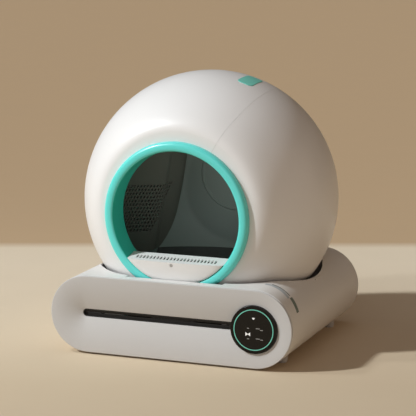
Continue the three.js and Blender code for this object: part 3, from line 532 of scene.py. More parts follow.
@dataclass(frozen=True)
class Granules(Finish):
    """Pressed carbon granules behind a cartridge's skin."""

    grain_scale: float = 420.0
    roughness: float = 0.75
    depth: float = 0.0004

    def dress(self, shader: Shader) -> None:
        """Set the granules.

        Args:
            shader: The shader to dress.
        """
        near = shader.cells(self.grain_scale)
        colour = shader.blend(near, tone("4a4a4c"), tone("232325"))
        shader.set(Base_Color=colour, Roughness=self.roughness + near * 0.2)
        shader.bump(1 - near, self.depth, strength=0.8)


SHELL_WHITE = Moulded("shell_white", "shell_white", "e9e6e3", 0.40, 0.012, 0.0007, 0.00002, coat=0.12)
STEP_WHITE = Moulded("step_white", "shell_white", "eceae7", 0.42, 0.012, 0.0006, 0.00002)
BASE_WHITE = Striped("base_white", "base_white", "e2dfdb", 0.50, 0.014, 0.0008, 0.00003, dust=0.25)
# A darker copy of the base's white, with painted shade, for the drawer's front and the feet.
SHADED_FACE_WHITE = Moulded("shaded_face_white", "base_white", "c5c2bf", 0.52, 0.014, 0.0008, 0.00003, dust=0.18)
# The trim's teal, with painted shade as a darker teal inside the bore.
TEAL = BoreShadedMoulded("trim_teal", "trim_teal", "64e0d8", 0.34, 0.03, 0.0008, 0.00002, coat=0.3)
BUTTON_TEAL = Moulded("button_teal", "trim_teal", "7ed6c6", 0.42, 0.04, 0.0008, 0.00002)
DRUM_GREY = Moulded("drum_grey", "drum_grey", "84908b", 0.55, 0.05, 0.0011, 0.00006)
SIEVE_GREY = Moulded("sieve_grey", "sieve_grey", "6d6e66", 0.58, 0.06, 0.0011, 0.00006)
MAT_DARK = Bed("mat_dark", "rubber_dark", "474a48", 0.72, 0.08)
RUBBER = Moulded("rubber_dark", "rubber_dark", "2b2b2a", 0.78, 0.08, 0.0012, 0.00008)
POD_BLACK = Gloss("pod_black", "pod_black", "0c0a08")
SENSOR_GREY = Gloss("sensor_grey", "pod_black", "b4afa8", 0.3)
SLOT_DARK = Moulded("slot_dark", "pod_black", "15110d", 0.6, 0.05, 0.0012, 0.00005)
RING_LIGHT = Lit("light_teal", "light_teal", "6ebea9", 0.25)
SYMBOL_LIGHT = Lit("symbol_light", "light_teal", "e8e6e2", 0.35)
BAR_LIGHT = Lit("bar_light", "light_teal", "8f8d89", 0.2)
INNER_GREY = Moulded("inner_grey", "inner_grey", "6f7173", 0.55, 0.05, 0.001, 0.00005)
NYLON = Moulded("nylon", "nylon", "dedbd2", 0.45, 0.03, 0.0009, 0.00003)
STEEL = Metal("steel", "steel")
BOARD_GREEN = Board("board_green", "board_green")
CARBON = Granules("carbon", "carbon")


@functools.cache
def material_of(finish: Finish) -> bpy.types.Material:
    """Build a finish's material once."""
    return finish.material()


# Mesh tools


@dataclass(eq=False)
class Form:
    """A closed mesh in the making, with its piece's name."""

    name: str
    mesh: bmesh.types.BMesh = field(default_factory=bmesh.new)

    def skin(self, rows: Sequence[Row], closed: bool = False) -> "Form":
        """Cover rows of points with faces. Every row is a closed loop of as many points.

        Args:
            rows: The rows.
            closed: Whether the last row joins the first. If not, both ends are capped.

        Returns:
            The form itself.
        """
        grid = [[self.mesh.verts.new(p) for p in row] for row in rows]
        count = len(grid[0])
        last = len(grid) if closed else len(grid) - 1
        for k in range(last):
            this, following = grid[k], grid[(k + 1) % len(grid)]
            for i in range(count):
                j = (i + 1) % count
                self.mesh.faces.new((this[i], this[j], following[j], following[i]))
        if not closed:
            self.mesh.faces.new(reversed(grid[0]))
            self.mesh.faces.new(grid[-1])
        bmesh.ops.remove_doubles(self.mesh, verts=self.mesh.verts[:], dist=1e-7)
        bmesh.ops.recalc_face_normals(self.mesh, faces=self.mesh.faces[:])
        return self

    def _object(self) -> bpy.types.Object:
        """Put the mesh into an object of its own."""
        data = bpy.data.meshes.new(self.name)
        self.mesh.to_mesh(data)
        made = bpy.data.objects.new(self.name, data)
        bpy.context.scene.collection.objects.link(made)
        return made

    def carve(self, tool: "Form", how: Cut = Cut.AWAY) -> "Form":
        """Change this form by another.

        Args:
            tool: The other form, which is used up.
            how: What it does.

        Returns:
            The form itself.
        """
        target, other = self._object(), tool._object()
        change = target.modifiers.new("change", "BOOLEAN")
        change.operation, change.solver, change.object = how.value, "EXACT", other
        bpy.context.view_layer.update()
        shaped = target.evaluated_get(bpy.context.evaluated_depsgraph_get())
        result = bpy.data.meshes.new_from_object(shaped)
        self.mesh.clear()
        self.mesh.from_mesh(result)
        for leftover in (target, other):
            data = leftover.data
            bpy.data.objects.remove(leftover)
            bpy.data.meshes.remove(data)
        bpy.data.meshes.remove(result)
        tool.mesh.free()
        bmesh.ops.remove_doubles(self.mesh, verts=self.mesh.verts[:], dist=2e-6)
        bmesh.ops.dissolve_degenerate(self.mesh, dist=1e-6, edges=self.mesh.edges[:])
        return self

    def copy(self, name: str) -> "Form":
        """Give a second form like this one."""
        return Form(name, self.mesh.copy())

    def moved(self, place: Matrix) -> "Form":
        """Move or turn the form."""
        self.mesh.transform(place)
        return self

    def soften(self, width: float, angle: float, steps: int) -> None:
        """Round the sharp edges.

        Args:
            width: How far back the rounding reaches, in metres.
            angle: The angle from which an edge is sharp, in degrees.
            steps: The number of faces across the rounding.
        """
        sharp = [e for e in self.mesh.edges if e.calc_face_angle(0.0) > math.radians(angle)]
        bmesh.ops.bevel(
            self.mesh, geom=sharp, offset=width, offset_type="OFFSET", segments=steps,
            profile=0.5, affect="EDGES", clamp_overlap=True, loop_slide=True,
        )

    def object(self, angle: float) -> bpy.types.Object:
        """Finish the mesh: smooth but for its sharp edges.

        Args:
            angle: The angle from which an edge is sharp, in degrees.

        Returns:
            The object.
        """
        for face in self.mesh.faces:
            face.smooth = True
        for edge in self.mesh.edges:
            edge.smooth = edge.calc_face_angle(0.0) < math.radians(angle)
        made = self._object()
        weighted = made.modifiers.new("weighted", "WEIGHTED_NORMAL")
        weighted.keep_sharp = True
        self.mesh.free()
        return made


def polar(radius: float, angle: float, y: float, x: float = 0.0, z: float = AXIS_Z) -> Vector:
    """Give a point at an angle about a line along Y."""
    turn = math.radians(angle)
    return Vector((x + radius * math.sin(turn), y, z + radius * math.cos(turn)))


def turned(
    name: str, profile: Profile, steps: int, x: float = 0.0, z: float = AXIS_Z, closed: bool = True
) -> Form:
    """Turn a profile about a line along Y."""
    rows = [[polar(r, 360 * i / steps, y, x, z) for i in range(steps)] for r, y in profile]
    return Form(name).skin(rows, closed)


def pushed(name: str, outline: Profile, y0: float, y1: float) -> Form:
    """Push an outline of X and Z along Y."""
    return Form(name).skin([[Vector((x, y, z)) for x, z in outline] for y in (y0, y1)])


def slab(name: str, low: Sequence[float], high: Sequence[float]) -> Form:
    """Build a block between two corners."""
    (x0, y0, z0), (x1, y1, z1) = low, high
    return pushed(name, [(x0, z0), (x1, z0), (x1, z1), (x0, z1)], y0, y1)


def stadium(radius: float, left: float = -END_X, right: float = END_X, steps: int = 28) -> Points:
    """Give the base's outline: a flat top and bottom with round ends.

    Args:
        radius: The radius of its ends.
        left: The X of the left end's centre.
        right: The X of the right end's centre.
        steps: The number of faces round each end.

    Returns:
        Points of X and Z, anticlockwise from the bottom of the right end.
    """
    turns = [math.pi * i / steps for i in range(steps + 1)]
    ends = [(right + radius * math.sin(a), MIDDLE_Z - radius * math.cos(a)) for a in turns]
    return ends + [(left - radius * math.sin(a), MIDDLE_Z + radius * math.cos(a)) for a in turns]


def ring_rows(sections: Iterable[tuple[float, float, float, float]], steps: int) -> list[Row]:
    """Give stadium rows from radius, left X, right X and Y."""
    return [[Vector((x, y, z)) for x, z in stadium(r, a, b, steps)] for r, a, b, y in sections]


def rounded(low: Sequence[float], high: Sequence[float], radius: float, steps: int, along: int) -> Points:
    """Give a rectangle with round corners, with points along its sides too.

    Args:
        low: Its lowest corner.
        high: Its highest corner.
        radius: The corners' radius.
        steps: The number of faces round a corner.
        along: The number of faces along a side.

    Returns:
        The outline, anticlockwise.
    """
    (x0, y0), (x1, y1) = low, high
    centres = [(x1 - radius, y0 + radius), (x1 - radius, y1 - radius), (x0 + radius, y1 - radius),
               (x0 + radius, y0 + radius)]
    points: Points = []
    for k, (cx, cy) in enumerate(centres):
        for i in range(steps + 1):
            a = math.radians(-90 + 90 * k + 90 * i / steps)
            points.append((cx + radius * math.cos(a), cy + radius * math.sin(a)))
    filled: Points = []
    for i, here in enumerate(points):
        after = points[(i + 1) % len(points)]
        filled.append(here)
        if i % (steps + 1) == steps:
            dx, dy = after[0] - here[0], after[1] - here[1]
            filled += [(here[0] + dx * k / along, here[1] + dy * k / along) for k in range(1, along)]
    return filled


def bend(first: Sequence[float], middle: Sequence[float], last: Sequence[float], steps: int) -> Points:
    """Give points on a curve that leaves and arrives along two sides.

    Args:
        first: Its first point.
        middle: The corner that it rounds.
        last: Its last point.
        steps: The number of lines along it.

    Returns:
        The points.
    """
    made = []
    for i in range(steps + 1):
        t = i / steps
        a, b, c = (1 - t) ** 2, 2 * t * (1 - t), t * t
        made.append((a * first[0] + b * middle[0] + c * last[0], a * first[1] + b * middle[1] + c * last[1]))
    return made


def band_rows(profile: Profile, steps: int, left: float = -END_X, right: float = END_X) -> list[Row]:
    """Give stadium rows from radius and Y, between two ends."""
    return ring_rows([(r, left, right, y) for r, y in profile], steps)


def zone(axis: int, low: float, high: float) -> Form:
    """Build a block that takes in all between two places along X, Y or Z, as axis 0, 1 or 2."""
    corners = [[end if k == axis else far for k in range(3)] for end, far in ((low, -FAR), (high, FAR))]
    return slab("zone", *corners)


def drill(radius: float, y0: float, y1: float, steps: int, x: float = 0.0, z: float = AXIS_Z) -> Form:
    """Build a round bar along Y that cuts a bore."""
    return turned("bore", [(radius, y0), (radius, y1)], steps, x, z, closed=False)


def placed(place: Sequence[float], angle: float, axis: str) -> Matrix:
    """Give a turn of some degrees about an axis through a place."""
    return Matrix.Translation(place) @ Matrix.Rotation(math.radians(angle), 4, axis)


def centred(half_width: float, half_length: float, radius: float, steps: int, along: int) -> Points:
    """Give a rectangle with round corners about the middle."""
    return rounded((-half_width, -half_length), (half_width, half_length), radius, steps, along)


def stacked(name: str, outline: Profile, levels: Sequence[float]) -> Form:
    """Join one outline of X and Y at some heights into a form."""
    return Form(name).skin([[Vector((x, y, z)) for x, y in outline] for z in levels])


def rod(radius: float, edge: float, start: float, end: float, between: Profile = ()) -> Points:
    """Give the profile of a rod along Y with small chamfers, and with any points between them."""
    head = [(PIN_CORE, start), (radius - edge, start), (radius, start + edge)]
    return [*head, *between, (radius, end - edge), (radius - edge, end), (PIN_CORE, end)]


class Assembly:
    """What every sub-assembly does: it shows its pieces and dresses its solids."""

    body = "base"

    def show(self, form: Form, finish: Finish, *stands_for: str, body: str = "", angle: float = 32.0) -> None:
        """Turn a form into a piece that rides on a body.

        Args:
            form: The form.
            finish: Its finish.
            stands_for: The solids that it stands for.
            body: Its body, where it isn't the sub-assembly's own.
            angle: The angle from which an edge stays sharp, in degrees.
        """
        made = form.object(angle)
        made.data.materials.clear()
        made.data.materials.append(material_of(finish))
        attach(made, body or self.body)
        if stands_for:
            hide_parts(*stands_for)
        LOG.info("%s: %d faces in %s", made.name, len(made.data.polygons), finish.name)

    def dress(self, finish: Finish, *nodes: str, edge: float = 0.0006) -> None:
        """Give solids a finish and fine round edges.

        Args:
            finish: The finish.
            nodes: The solids' names.
            edge: The width of the rounding, in metres.
        """
        for name in nodes:
            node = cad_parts[name]
            node.data.materials.clear()
            node.data.materials.append(material_of(finish))
            if edge:
                change = node.modifiers.new("edges", "BEVEL")
                change.width, change.segments, change.limit_method = edge, 2, "ANGLE"
                change.angle_limit = math.radians(40)
                change.harden_normals = True
            LOG.info("%s: dressed in %s", name, finish.name)


# Globe


@dataclass
class Globe(Assembly):
    """The fixed white globe in two halves, with the teal button near its top."""

    radius: float = 0.2705
    centre_y: float = 0.0155
    centre_z: float = 0.303
    wall: float = 0.003
    face_y: float = -0.183
    face_radius: float = 0.166
    face_steps: tuple[float, ...] = (CORE, 0.06, 0.11, 0.15)
    front_shoulder: float = 0.232
    mouth_radius: float = 0.1435
    back_y: float = 0.215
    back_radius: float = 0.150
    back_steps: tuple[float, ...] = (0.10, 0.05, CORE)
    back_shoulder: float = 0.208
    facets: int = 160
    arc_facets: int = 40
    rim_z: float = 0.146
    seam: float = 28.6
    button_facets: int = 192
    button_angle: float = 19.4
    button_y: float = 0.009
    button_width: float = 0.034
    button_length: float = 0.076
    button_corner: float = 0.010
    button_gap: float = 0.0006
    button_proud: float = 0.0008
    button_depth: float = 0.0037

    def profile(self, offset: float = 0.0) -> Points:
        """Give the globe's profile from the middle of its face to the middle of its back.

        Args:
            offset: How far outside the globe's surface it runs, in metres.

        Returns:
            Points of radius and Y.
        """
        r = self.radius + offset
        face_y, back_y = self.face_y - offset, self.back_y + offset
        front, back = self.front_shoulder + offset, self.back_shoulder + offset
        front_reach, back_reach = math.sqrt(r * r - front * front), math.sqrt(r * r - back * back)
        front_y, rear_y = self.centre_y - front_reach, self.centre_y + back_reach
        points = [(step, face_y) for step in self.face_steps]
        corner = front - (front_y - face_y) * front_reach / front
        points += bend((self.face_radius, face_y), (corner, face_y), (front, front_y), 22)
        start, end = -math.asin(front_reach / r), math.asin(back_reach / r)
        for i in range(1, self.arc_facets):
            a = start + (end - start) * i / self.arc_facets
            points.append((r * math.cos(a), self.centre_y + r * math.sin(a)))
        corner = back - (back_y - rear_y) * back_reach / back
        points += bend((back, rear_y), (corner, back_y), (self.back_radius, back_y), 14)
        return points + [(step, back_y) for step in self.back_steps]

    def space(self, name: str, offset: float, steps: int) -> Form:
        """Give the closed space inside the globe's surface, grown by an offset."""
        return turned(name, self.profile(offset), steps, 0.0, self.centre_z, closed=False)

    def button_plate(self, name: str, grow: float, low: float, high: float) -> Form:
        """Give the button's outline as a plate that stands square to the globe.

        Args:
            name: The form's name.
            grow: How much wider it is all round.
            low: Its lower end, from the globe's middle.
            high: Its upper end.

        Returns:
            The form.
        """
        half = (self.button_width / 2 + grow, self.button_length / 2 + grow)
        plate = stacked(name, centred(*half, self.button_corner + grow, 8, 14), (low, high))
        return plate.moved(placed((0, self.button_y, self.centre_z), self.button_angle, "Y"))

    def shells(self) -> None:
        """Build the two halves, with the button's pocket in the left one."""
        whole = self.space("globe", 0.0, self.facets).carve(self.space("inner", -self.wall, self.facets))
        whole.carve(drill(self.mouth_radius, -FAR, 0.0, 128))
        whole.carve(zone(2, -FAR, self.rim_z))
        for side in reversed(Side):
            half = whole.copy(f"globe_{side.name.lower()}")
            keep = zone(0, *sorted((side.value * GAP / 2, side.value * FAR)))
            half.carve(keep.moved(placed((0, 0, AXIS_Z), self.seam, "Y")), Cut.COMMON)
            if side is Side.LEFT:
                half.carve(self.button_plate("pocket", self.button_gap, self.radius / 2, self.radius * 2))
            half.soften(0.0004, angle=50, steps=1)
            self.show(half, SHELL_WHITE, f"shell_{side.name.lower()}", angle=40)
        whole.mesh.free()

    def button(self) -> None:
        """Build the teal button, whose top follows the globe."""
        button = self.button_plate("globe_button", 0, self.radius / 2, self.radius * 1.2)
        button.carve(self.space("over", self.button_proud, self.button_facets), Cut.COMMON)
        button.carve(self.space("under", -self.button_depth, self.button_facets))
        button.soften(0.0009, angle=50, steps=3)
        self.show(button, BUTTON_TEAL, "release_button", body="button", angle=45)
        self.dress(INNER_GREY, "button_cup", edge=0)
        self.dress(STEEL, "button_spring", edge=0)

    def build(self) -> None:
        """Build the whole sub-assembly."""
        self.shells()
        self.button()


# Entry


@dataclass
class Entry(Assembly):
    """The teal collar, its seal, and the slotted step at its foot."""

    outer: float = 0.158
    bore: float = 0.138
    back_y: float = -0.1833
    front_y: float = -0.1973
    tube_end_y: float = -0.1403
    tube_outer: float = 0.141
    lip: float = 0.006
    crest: float = 0.001
    flat: float = 0.003
    edge: float = 0.0006
    facets: int = 128
    collar_facets: int = 160
    seal_y: float = -0.1417
    seal_shape: Profile = (
        (0.1413, 0.0), (0.1435, 0.0), (0.1445, 0.001),
        (0.1445, 0.0025), (0.1435, 0.0035), (0.1413, 0.0035),
    )
    step_face_y: float = -0.1963
    step_bulge: float = 0.011
    step_depth: float = 0.045
    step_top: float = 0.209
    step_slope: float = 6.4
    step_wall: float = 0.003
    step_facets: int = 18
    slots: int = 24
    slot_pitch: float = 0.0075
    slot_width: float = 0.0042
    slot_shift: float = -0.0025
    slot_length: float = 0.0205
    slot_slant: float = -7.0
    slot_setback: float = 0.0165
    sensor_x: float = -0.0044
    sensor_z: float = 0.197
    sensor_radius: float = 0.0032
    sensor_front: float = -0.2046
    sensor_back: float = -0.1983
    sensor_facets: int = 32

    def collar(self) -> None:
        """Build the teal collar: a soft round lip in front of a straight tube."""
        middle, edge = (self.outer + self.bore) / 2 - self.crest, self.edge
        back, front = self.back_y, self.front_y
        profile = [(self.tube_outer, back), (self.outer - edge, back), (self.outer, back - edge)]
        profile += bend((self.outer, back - self.flat), (self.outer, front), (middle, front), 16)
        profile += bend((middle, front), (self.bore, front), (self.bore, front + self.lip), 12)[1:]
        profile += [(self.bore, self.tube_end_y), (self.tube_outer, self.tube_end_y)]
        self.show(turned("entry_ring", profile, self.collar_facets), TEAL, "entry_collar", angle=40)

    def seal(self) -> None:
        """Build the seal that wipes the mouth of the drum."""
        profile = [(r, self.seal_y + y) for r, y in self.seal_shape]
        self.show(turned("mouth_seal", profile, self.facets), RUBBER, "collar_seal")

    def dome(self, name: str, inset: float) -> Form:
        """Give the step's bulging front as a full disc, before its top is cut.

        Args:
            name: The form's name.
            inset: How far inside the step's own surface it lies.

        Returns:
            The form.
        """
        radius = self.bore - GAP - inset
        front = self.step_face_y + inset
        points = [(CORE, front - self.step_bulge)]
        for i in range(1, self.step_facets + 1):
            a = math.pi / 2 * i / self.step_facets
            points.append((radius * math.sin(a), front - self.step_bulge * math.cos(a)))
        points.append((radius, self.step_face_y + self.step_depth + (CUT if inset else 0)))
        return turned(name, points, self.facets, closed=False)

    def slope(self, lift: float) -> Matrix:
        """Give the place of the step's top: level with X, falling towards the front."""
        return placed((0, self.step_face_y + self.step_depth, self.step_top + lift), self.step_slope, "X")

    def over(self, drop: float) -> Form:
        """Give all that lies above the step's sloping top, from a little below it."""
        return zone(2, 0, FAR).moved(self.slope(-drop))

    def slot_tools(self) -> Form:
        """Build the tools that cut the row of slots."""
        outline = centred(self.slot_width / 2, self.slot_length / 2, self.slot_width * 0.49, 4, 1)
        levels = (-self.step_wall * 2, CUT)
        cutter = Form("slots")
        for i in range(self.slots):
            x = self.slot_shift + (i - (self.slots - 1) / 2) * self.slot_pitch
            y = self.slot_setback - self.step_depth
            turn = self.slope(0) @ placed((x, y, 0), -self.slot_slant, "Z")
            cutter.skin([[turn @ Vector((px, py, z)) for px, py in outline] for z in levels])
        return cutter

    def step(self) -> None:
        """Build the step and its sensor."""
        step = self.dome("entry_sill", 0).carve(self.over(0))
        step.soften(0.0045, angle=55, steps=6)
        step.carve(self.dome("hollow", self.step_wall).carve(self.over(self.step_wall)))
        step.carve(self.slot_tools())
        r, front, back = self.sensor_radius, self.sensor_front, self.sensor_back
        place = (self.sensor_facets, self.sensor_x, self.sensor_z)
        step.carve(drill(r + GAP, BEFORE, -0.19, *place))
        self.show(step, STEP_WHITE, "entry_step", angle=35)
        lens = [(PIN_CORE, front), (r * 0.7, front + 0.0003), (r, front + 0.0012)]
        lens += [(r, back), (PIN_CORE, back)]
        self.show(turned("sill_sensor", lens, *place, closed=False), SENSOR_GREY, "step_sensor")

    def build(self) -> None:
        """Build the whole sub-assembly."""
        self.collar()
        self.seal()
        self.step()


# Drum


@dataclass
class Drum(Assembly):
    """The dark drum that turns inside the globe. Its bends run from the mouth to the back."""

    body = "drum"
    radius: float = 0.222
    wall: float = 0.0035
    facets: int = 144
    mouth_y: float = -0.142
    mouth_radius: float = 0.149
    mouth_lip: float = 0.007
    mouth_soft: float = 0.002
    seam_y: float = -0.029
    back_y: float = 0.167
    back_radius: float = 0.124
    track_rise: float = 0.004
    track_width: float = 0.018
    tracks: tuple[float, float] = (-0.057, 0.063)
    front_slope: Profile = ((0.190, -0.111), (0.222, -0.077))
    rear_slope: Profile = ((0.222, 0.093), (0.205, 0.113), (0.176, 0.135), (0.176, 0.151), (0.150, 0.151))
    bends: tuple[tuple[tuple[float, float, float], ...], ...] = (
        ((0.178, -0.1175, 0.5), (0.190, -0.111, 0.5), (0.200, -0.1005, 0.5)),
        ((0.214, -0.0855, 0.5), (0.222, -0.077, 0.5), (0.222, -0.066, 0.0)),
        ((0.222, 0.081, 0.0), (0.222, 0.093, -0.5), (0.214, 0.1026, -0.5)),
        ((0.200, 0.117, -0.5), (0.176, 0.135, -0.5), (0.168, 0.1395, -0.5)),
        ((0.160, 0.1445, -0.5), (0.150, 0.151, -0.5), (0.142, 0.1555, -0.5)),
        ((0.130, 0.163, -1.0), (0.124, 0.167, -1.0), (0.114, 0.167, -1.0)),
    )
    panel_radius: float = 0.080
    panel_z: float = 0.327
    panel_plate: float = 0.0025
    panel_rim: float = 0.006
    panel_step: float = 0.0006
    panel_band: float = 0.005
    panel_edge: float = 0.0008
    panel_facets: int = 96
    port_angle: float = 25.0
    port_width: float = 0.118
    port_front: float = -0.013
    port_rear: float = 0.053
    port_corner: float = 0.008
    port_reach: tuple[float, float] = (0.11, 0.4)
    gasket: float = 0.008
    gasket_wall: float = 0.003
    liner: float = 0.0025
    liner_top: float = 0.163
    liner_low: tuple[float, float] = (-0.160, -0.103)
    liner_rear: float = 0.170
    sieve_shares: Profile = (
        (-0.845, -0.62), (-0.851, -0.131), (-0.622, 0.279),
        (-0.617, 0.441), (-0.559, 0.631), (-0.568, 0.761),
    )
    sieve_steps: int = 60
    sieve_reach: tuple[float, float] = (0.08, 0.54)
    sieve_thickness: float = 0.0024
    sieve_lean: float = 10.0
    hole_width: float = 0.0040
    hole_height: float = 0.0066
    hole_slant: float = 28.0
    row_pitch: float = 0.0083
    column_pitch: float = 0.0086
    rows: int = 13
    columns: int = 18
    columns_lost_share: float = 0.40
    top_row: float = 0.2858
    first_hole_y: float = -0.025

    def outside(self) -> Points:
        """Give the drum's outer profile, with its two roller tracks."""
        r, rise = self.radius, self.radius + self.track_rise
        points = [(self.mouth_radius, self.mouth_y), (self.mouth_radius, self.mouth_y + self.mouth_lip)]
        points += self.front_slope
        for y in self.tracks:
            points += [(r, y), (rise, y), (rise, y + self.track_width), (r, y + self.track_width)]
        return [*points, *self.rear_slope, (self.back_radius, self.back_y), (CORE, self.back_y)]

    def inside(self, clearance: float = 0.0) -> Points:
        """Give the drum's inner profile, with soft bends between its walls.

        Args:
            clearance: How far inside the wall it runs.

        Returns:
            Points of radius and Y from the mouth to the middle of the back.
        """
        w = self.wall + clearance
        mouth, lip, soft = self.mouth_radius - w, self.mouth_y + self.mouth_lip, self.mouth_soft
        points = [(mouth, self.mouth_y), (mouth, lip - soft)]
        points += bend((mouth, lip - soft / 2), (mouth, lip), (mouth + soft, lip + soft * 0.6), 4)
        for corners in self.bends:
            points += bend(*((r - w, y + share * w) for r, y, share in corners), 6)
        return points + [(CORE, self.back_y - w)]

    def room(self, clearance: float, start: float = 0.0) -> Form:
        """Give the space inside the drum's wall as a closed form."""
        profile = [(CORE, self.mouth_y - start), *self.inside(clearance)]
        return turned("room", profile, self.facets, closed=False)

    def port_tool(self, grow: float = 0.0) -> Form:
        """Give the waste port's cutter.

        Args:
            grow: How much wider it is all round.

        Returns:
            The form.
        """
        half = self.port_width / 2 + grow
        low, high = (-half, self.port_front - grow), (half, self.port_rear + grow)
        outline = rounded(low, high, self.port_corner + grow, 6, 10)
        plate = stacked("port", outline, self.port_reach)
        return plate.moved(placed((0, 0, AXIS_Z), -self.port_angle, "Y"))

    def walls(self) -> None:
        """Build the two halves of the drum's wall."""
        for end, low, high in (("front", -FAR, self.seam_y - GAP / 2), ("rear", self.seam_y + GAP / 2, FAR)):
            wall = turned(f"drum_wall_{end}", self.outside(), self.facets, closed=False)
            inner = [(self.mouth_radius - self.wall, self.mouth_y - CUT), *self.inside()[1:]]
            wall.carve(turned("inner", inner, self.facets, closed=False))
            wall.carve(zone(1, low, high), Cut.COMMON)
            if end == "rear":
                wall.carve(drill(self.panel_radius + GAP, 0.1, BEHIND, self.panel_facets, 0, self.panel_z))
                wall.carve(self.port_tool())
            wall.soften(0.0005, angle=55, steps=1)
            self.show(wall, DRUM_GREY, f"drum_{end}", angle=28)

    def panel(self) -> None:
        """Build the round back panel, with a shallow step round its edge."""
        r, plate, rim = self.panel_radius, self.panel_plate, self.panel_radius + self.panel_rim
        face, back = self.back_y - plate, self.back_y + GAP
        sunk, band, e = face + self.panel_step, r - self.panel_band, self.panel_edge
        profile = [(CORE, sunk), (band - 0.001, sunk), (band, face), (r - e, face), (r, face + e), (r, back)]
        profile += [(rim, back), (rim, back + plate), (CORE, back + plate)]
        disc = turned("drum_back_disc", profile, self.panel_facets, 0, self.panel_z, closed=False)
        self.show(disc, DRUM_GREY, "drum_back_panel", angle=28)

    def mat(self) -> None:
        """Build the soft mat."""
        mat = self.room(GAP)
        mat.name = "litter_mat"
        mat.carve(self.room(self.liner, CUT))
        high = (self.radius, self.liner_rear, self.liner_top)
        mat.carve(slab("bed", (*self.liner_low, 0), high), Cut.COMMON)
        mat.soften(0.0007, angle=50, steps=2)
        self.show(mat, MAT_DARK, "litter_liner")

    def plan(self, share: float) -> tuple[Vector, Vector]:
        """Give a point on the sieve's plan curve and the way along it.

        Args:
            share: How far along the curve, from 0 to 1.

        Returns:
            The point and the direction, both level.
        """
        places = [Vector((x * self.radius, y * self.radius + 0.001)) for x, y in self.sieve_shares]
        last = len(places) - 1
        t = share * last
        k = min(int(t), last - 1)
        t -= k
        p0, p1, p2, p3 = places[max(k - 1, 0)], places[k], places[k + 1], places[min(k + 2, last)]
        rise, curve, twist = p2 - p0, 2 * p0 - 5 * p1 + 4 * p2 - p3, 3 * p1 - p0 - 3 * p2 + p3
        here = 0.5 * (2 * p1 + rise * t + curve * t * t + twist * t**3)
        return here, (0.5 * (rise + 2 * curve * t + 3 * twist * t * t)).normalized()

    def hole(self, cutter: Form, place: Vector, way: Vector, z: float) -> None:
        """Add one hole's tool.

        Args:
            cutter: The form that gathers the tools.
            place: The hole's place in plan.
            way: The way along the wall.
            z: Its height.
        """
        outline = centred(self.hole_width / 2, self.hole_height / 2, self.hole_width * 0.45, 3, 1)
        turn = math.radians(self.hole_slant)
        rows: list[Row] = [[], []]
        for row, depth in zip(rows, (-CUT * 1.2, CUT * 1.2)):
            for u, v in outline:
                a = u * math.cos(turn) + v * math.sin(turn)
                b = -u * math.sin(turn) + v * math.cos(turn)
                x, y = place.x + way.x * a - way.y * depth, place.y + way.y * a + way.x * depth
                row.append(Vector((x, y, z + b)))
        cutter.skin(rows)

    def hole_tools(self, samples: Sequence[tuple[Vector, Vector]]) -> Form:
        """Build the tools that cut the rows of holes, which are staggered and shorter lower down.

        Args:
            samples: Points on the plan curve, each with the way along it.

        Returns:
            The form.
        """
        lengths = [0.0]
        for (a, _), (b, _) in zip(samples, samples[1:]):
            lengths.append(lengths[-1] + (b - a).length)
        start = next(d for d, (p, _) in zip(lengths, samples) if p.y > self.first_hole_y)
        cutter = Form("holes")
        for row in range(self.rows):
            lost = self.columns_lost_share * row / (self.rows - 1)
            for column in range(round(self.columns * (1 - lost))):
                along = start + (row % 2) * self.column_pitch / 2 + column * self.column_pitch
                k = next(i for i, d in enumerate(lengths) if d >= along)
                back = (lengths[k] - along) / (lengths[k] - lengths[k - 1])
                place, way = self.plan((k - back) / self.sieve_steps)
                self.hole(cutter, place, way, self.top_row - row * self.row_pitch)
        return cutter

    def sieve(self) -> None:
        """Build the leaning perforated wall."""
        samples = [self.plan(i / self.sieve_steps) for i in range(self.sieve_steps + 1)]
        half = self.sieve_thickness / 2
        outer = [(p.x - w.y * half, p.y + w.x * half) for p, w in samples]
        inner = [(p.x + w.y * half, p.y - w.x * half) for p, w in samples]
        lean = placed((0, 0, AXIS_Z), self.sieve_lean, "Y") @ Matrix.Translation((0, 0, -AXIS_Z))
        sieve = stacked("sieve_wall", outer + inner[::-1], self.sieve_reach).moved(lean)
        sieve.carve(zone(2, -FAR, self.liner_top + GAP))
        sieve.carve(self.room(GAP * 2), Cut.COMMON)
        sieve.carve(self.hole_tools(samples).moved(lean))
        sieve.soften(0.0003, angle=60, steps=1)
        self.show(sieve, SIEVE_GREY, "sieve_panel", angle=30)

    def port(self) -> None:
        """Build the rubber frame round the waste port."""
        r, rise = self.radius + GAP, self.radius + GAP + self.gasket_wall
        front, rear = self.port_front - self.gasket, self.port_rear + self.gasket
        shell = turned("port_gasket", [(r, front), (rise, front), (rise, rear), (r, rear)], self.facets)
        shell.carve(self.port_tool(self.gasket), Cut.COMMON)
        shell.carve(self.port_tool())
        shell.soften(0.0008, angle=50, steps=2)
        self.show(shell, RUBBER, "port_frame")

    def build(self) -> None:
        """Build the whole sub-assembly."""
        self.walls()
        self.panel()
        self.mat()
        self.sieve()
        self.port()
        self.dress(NYLON, "ring_gear", edge=0.0004)


# Drive


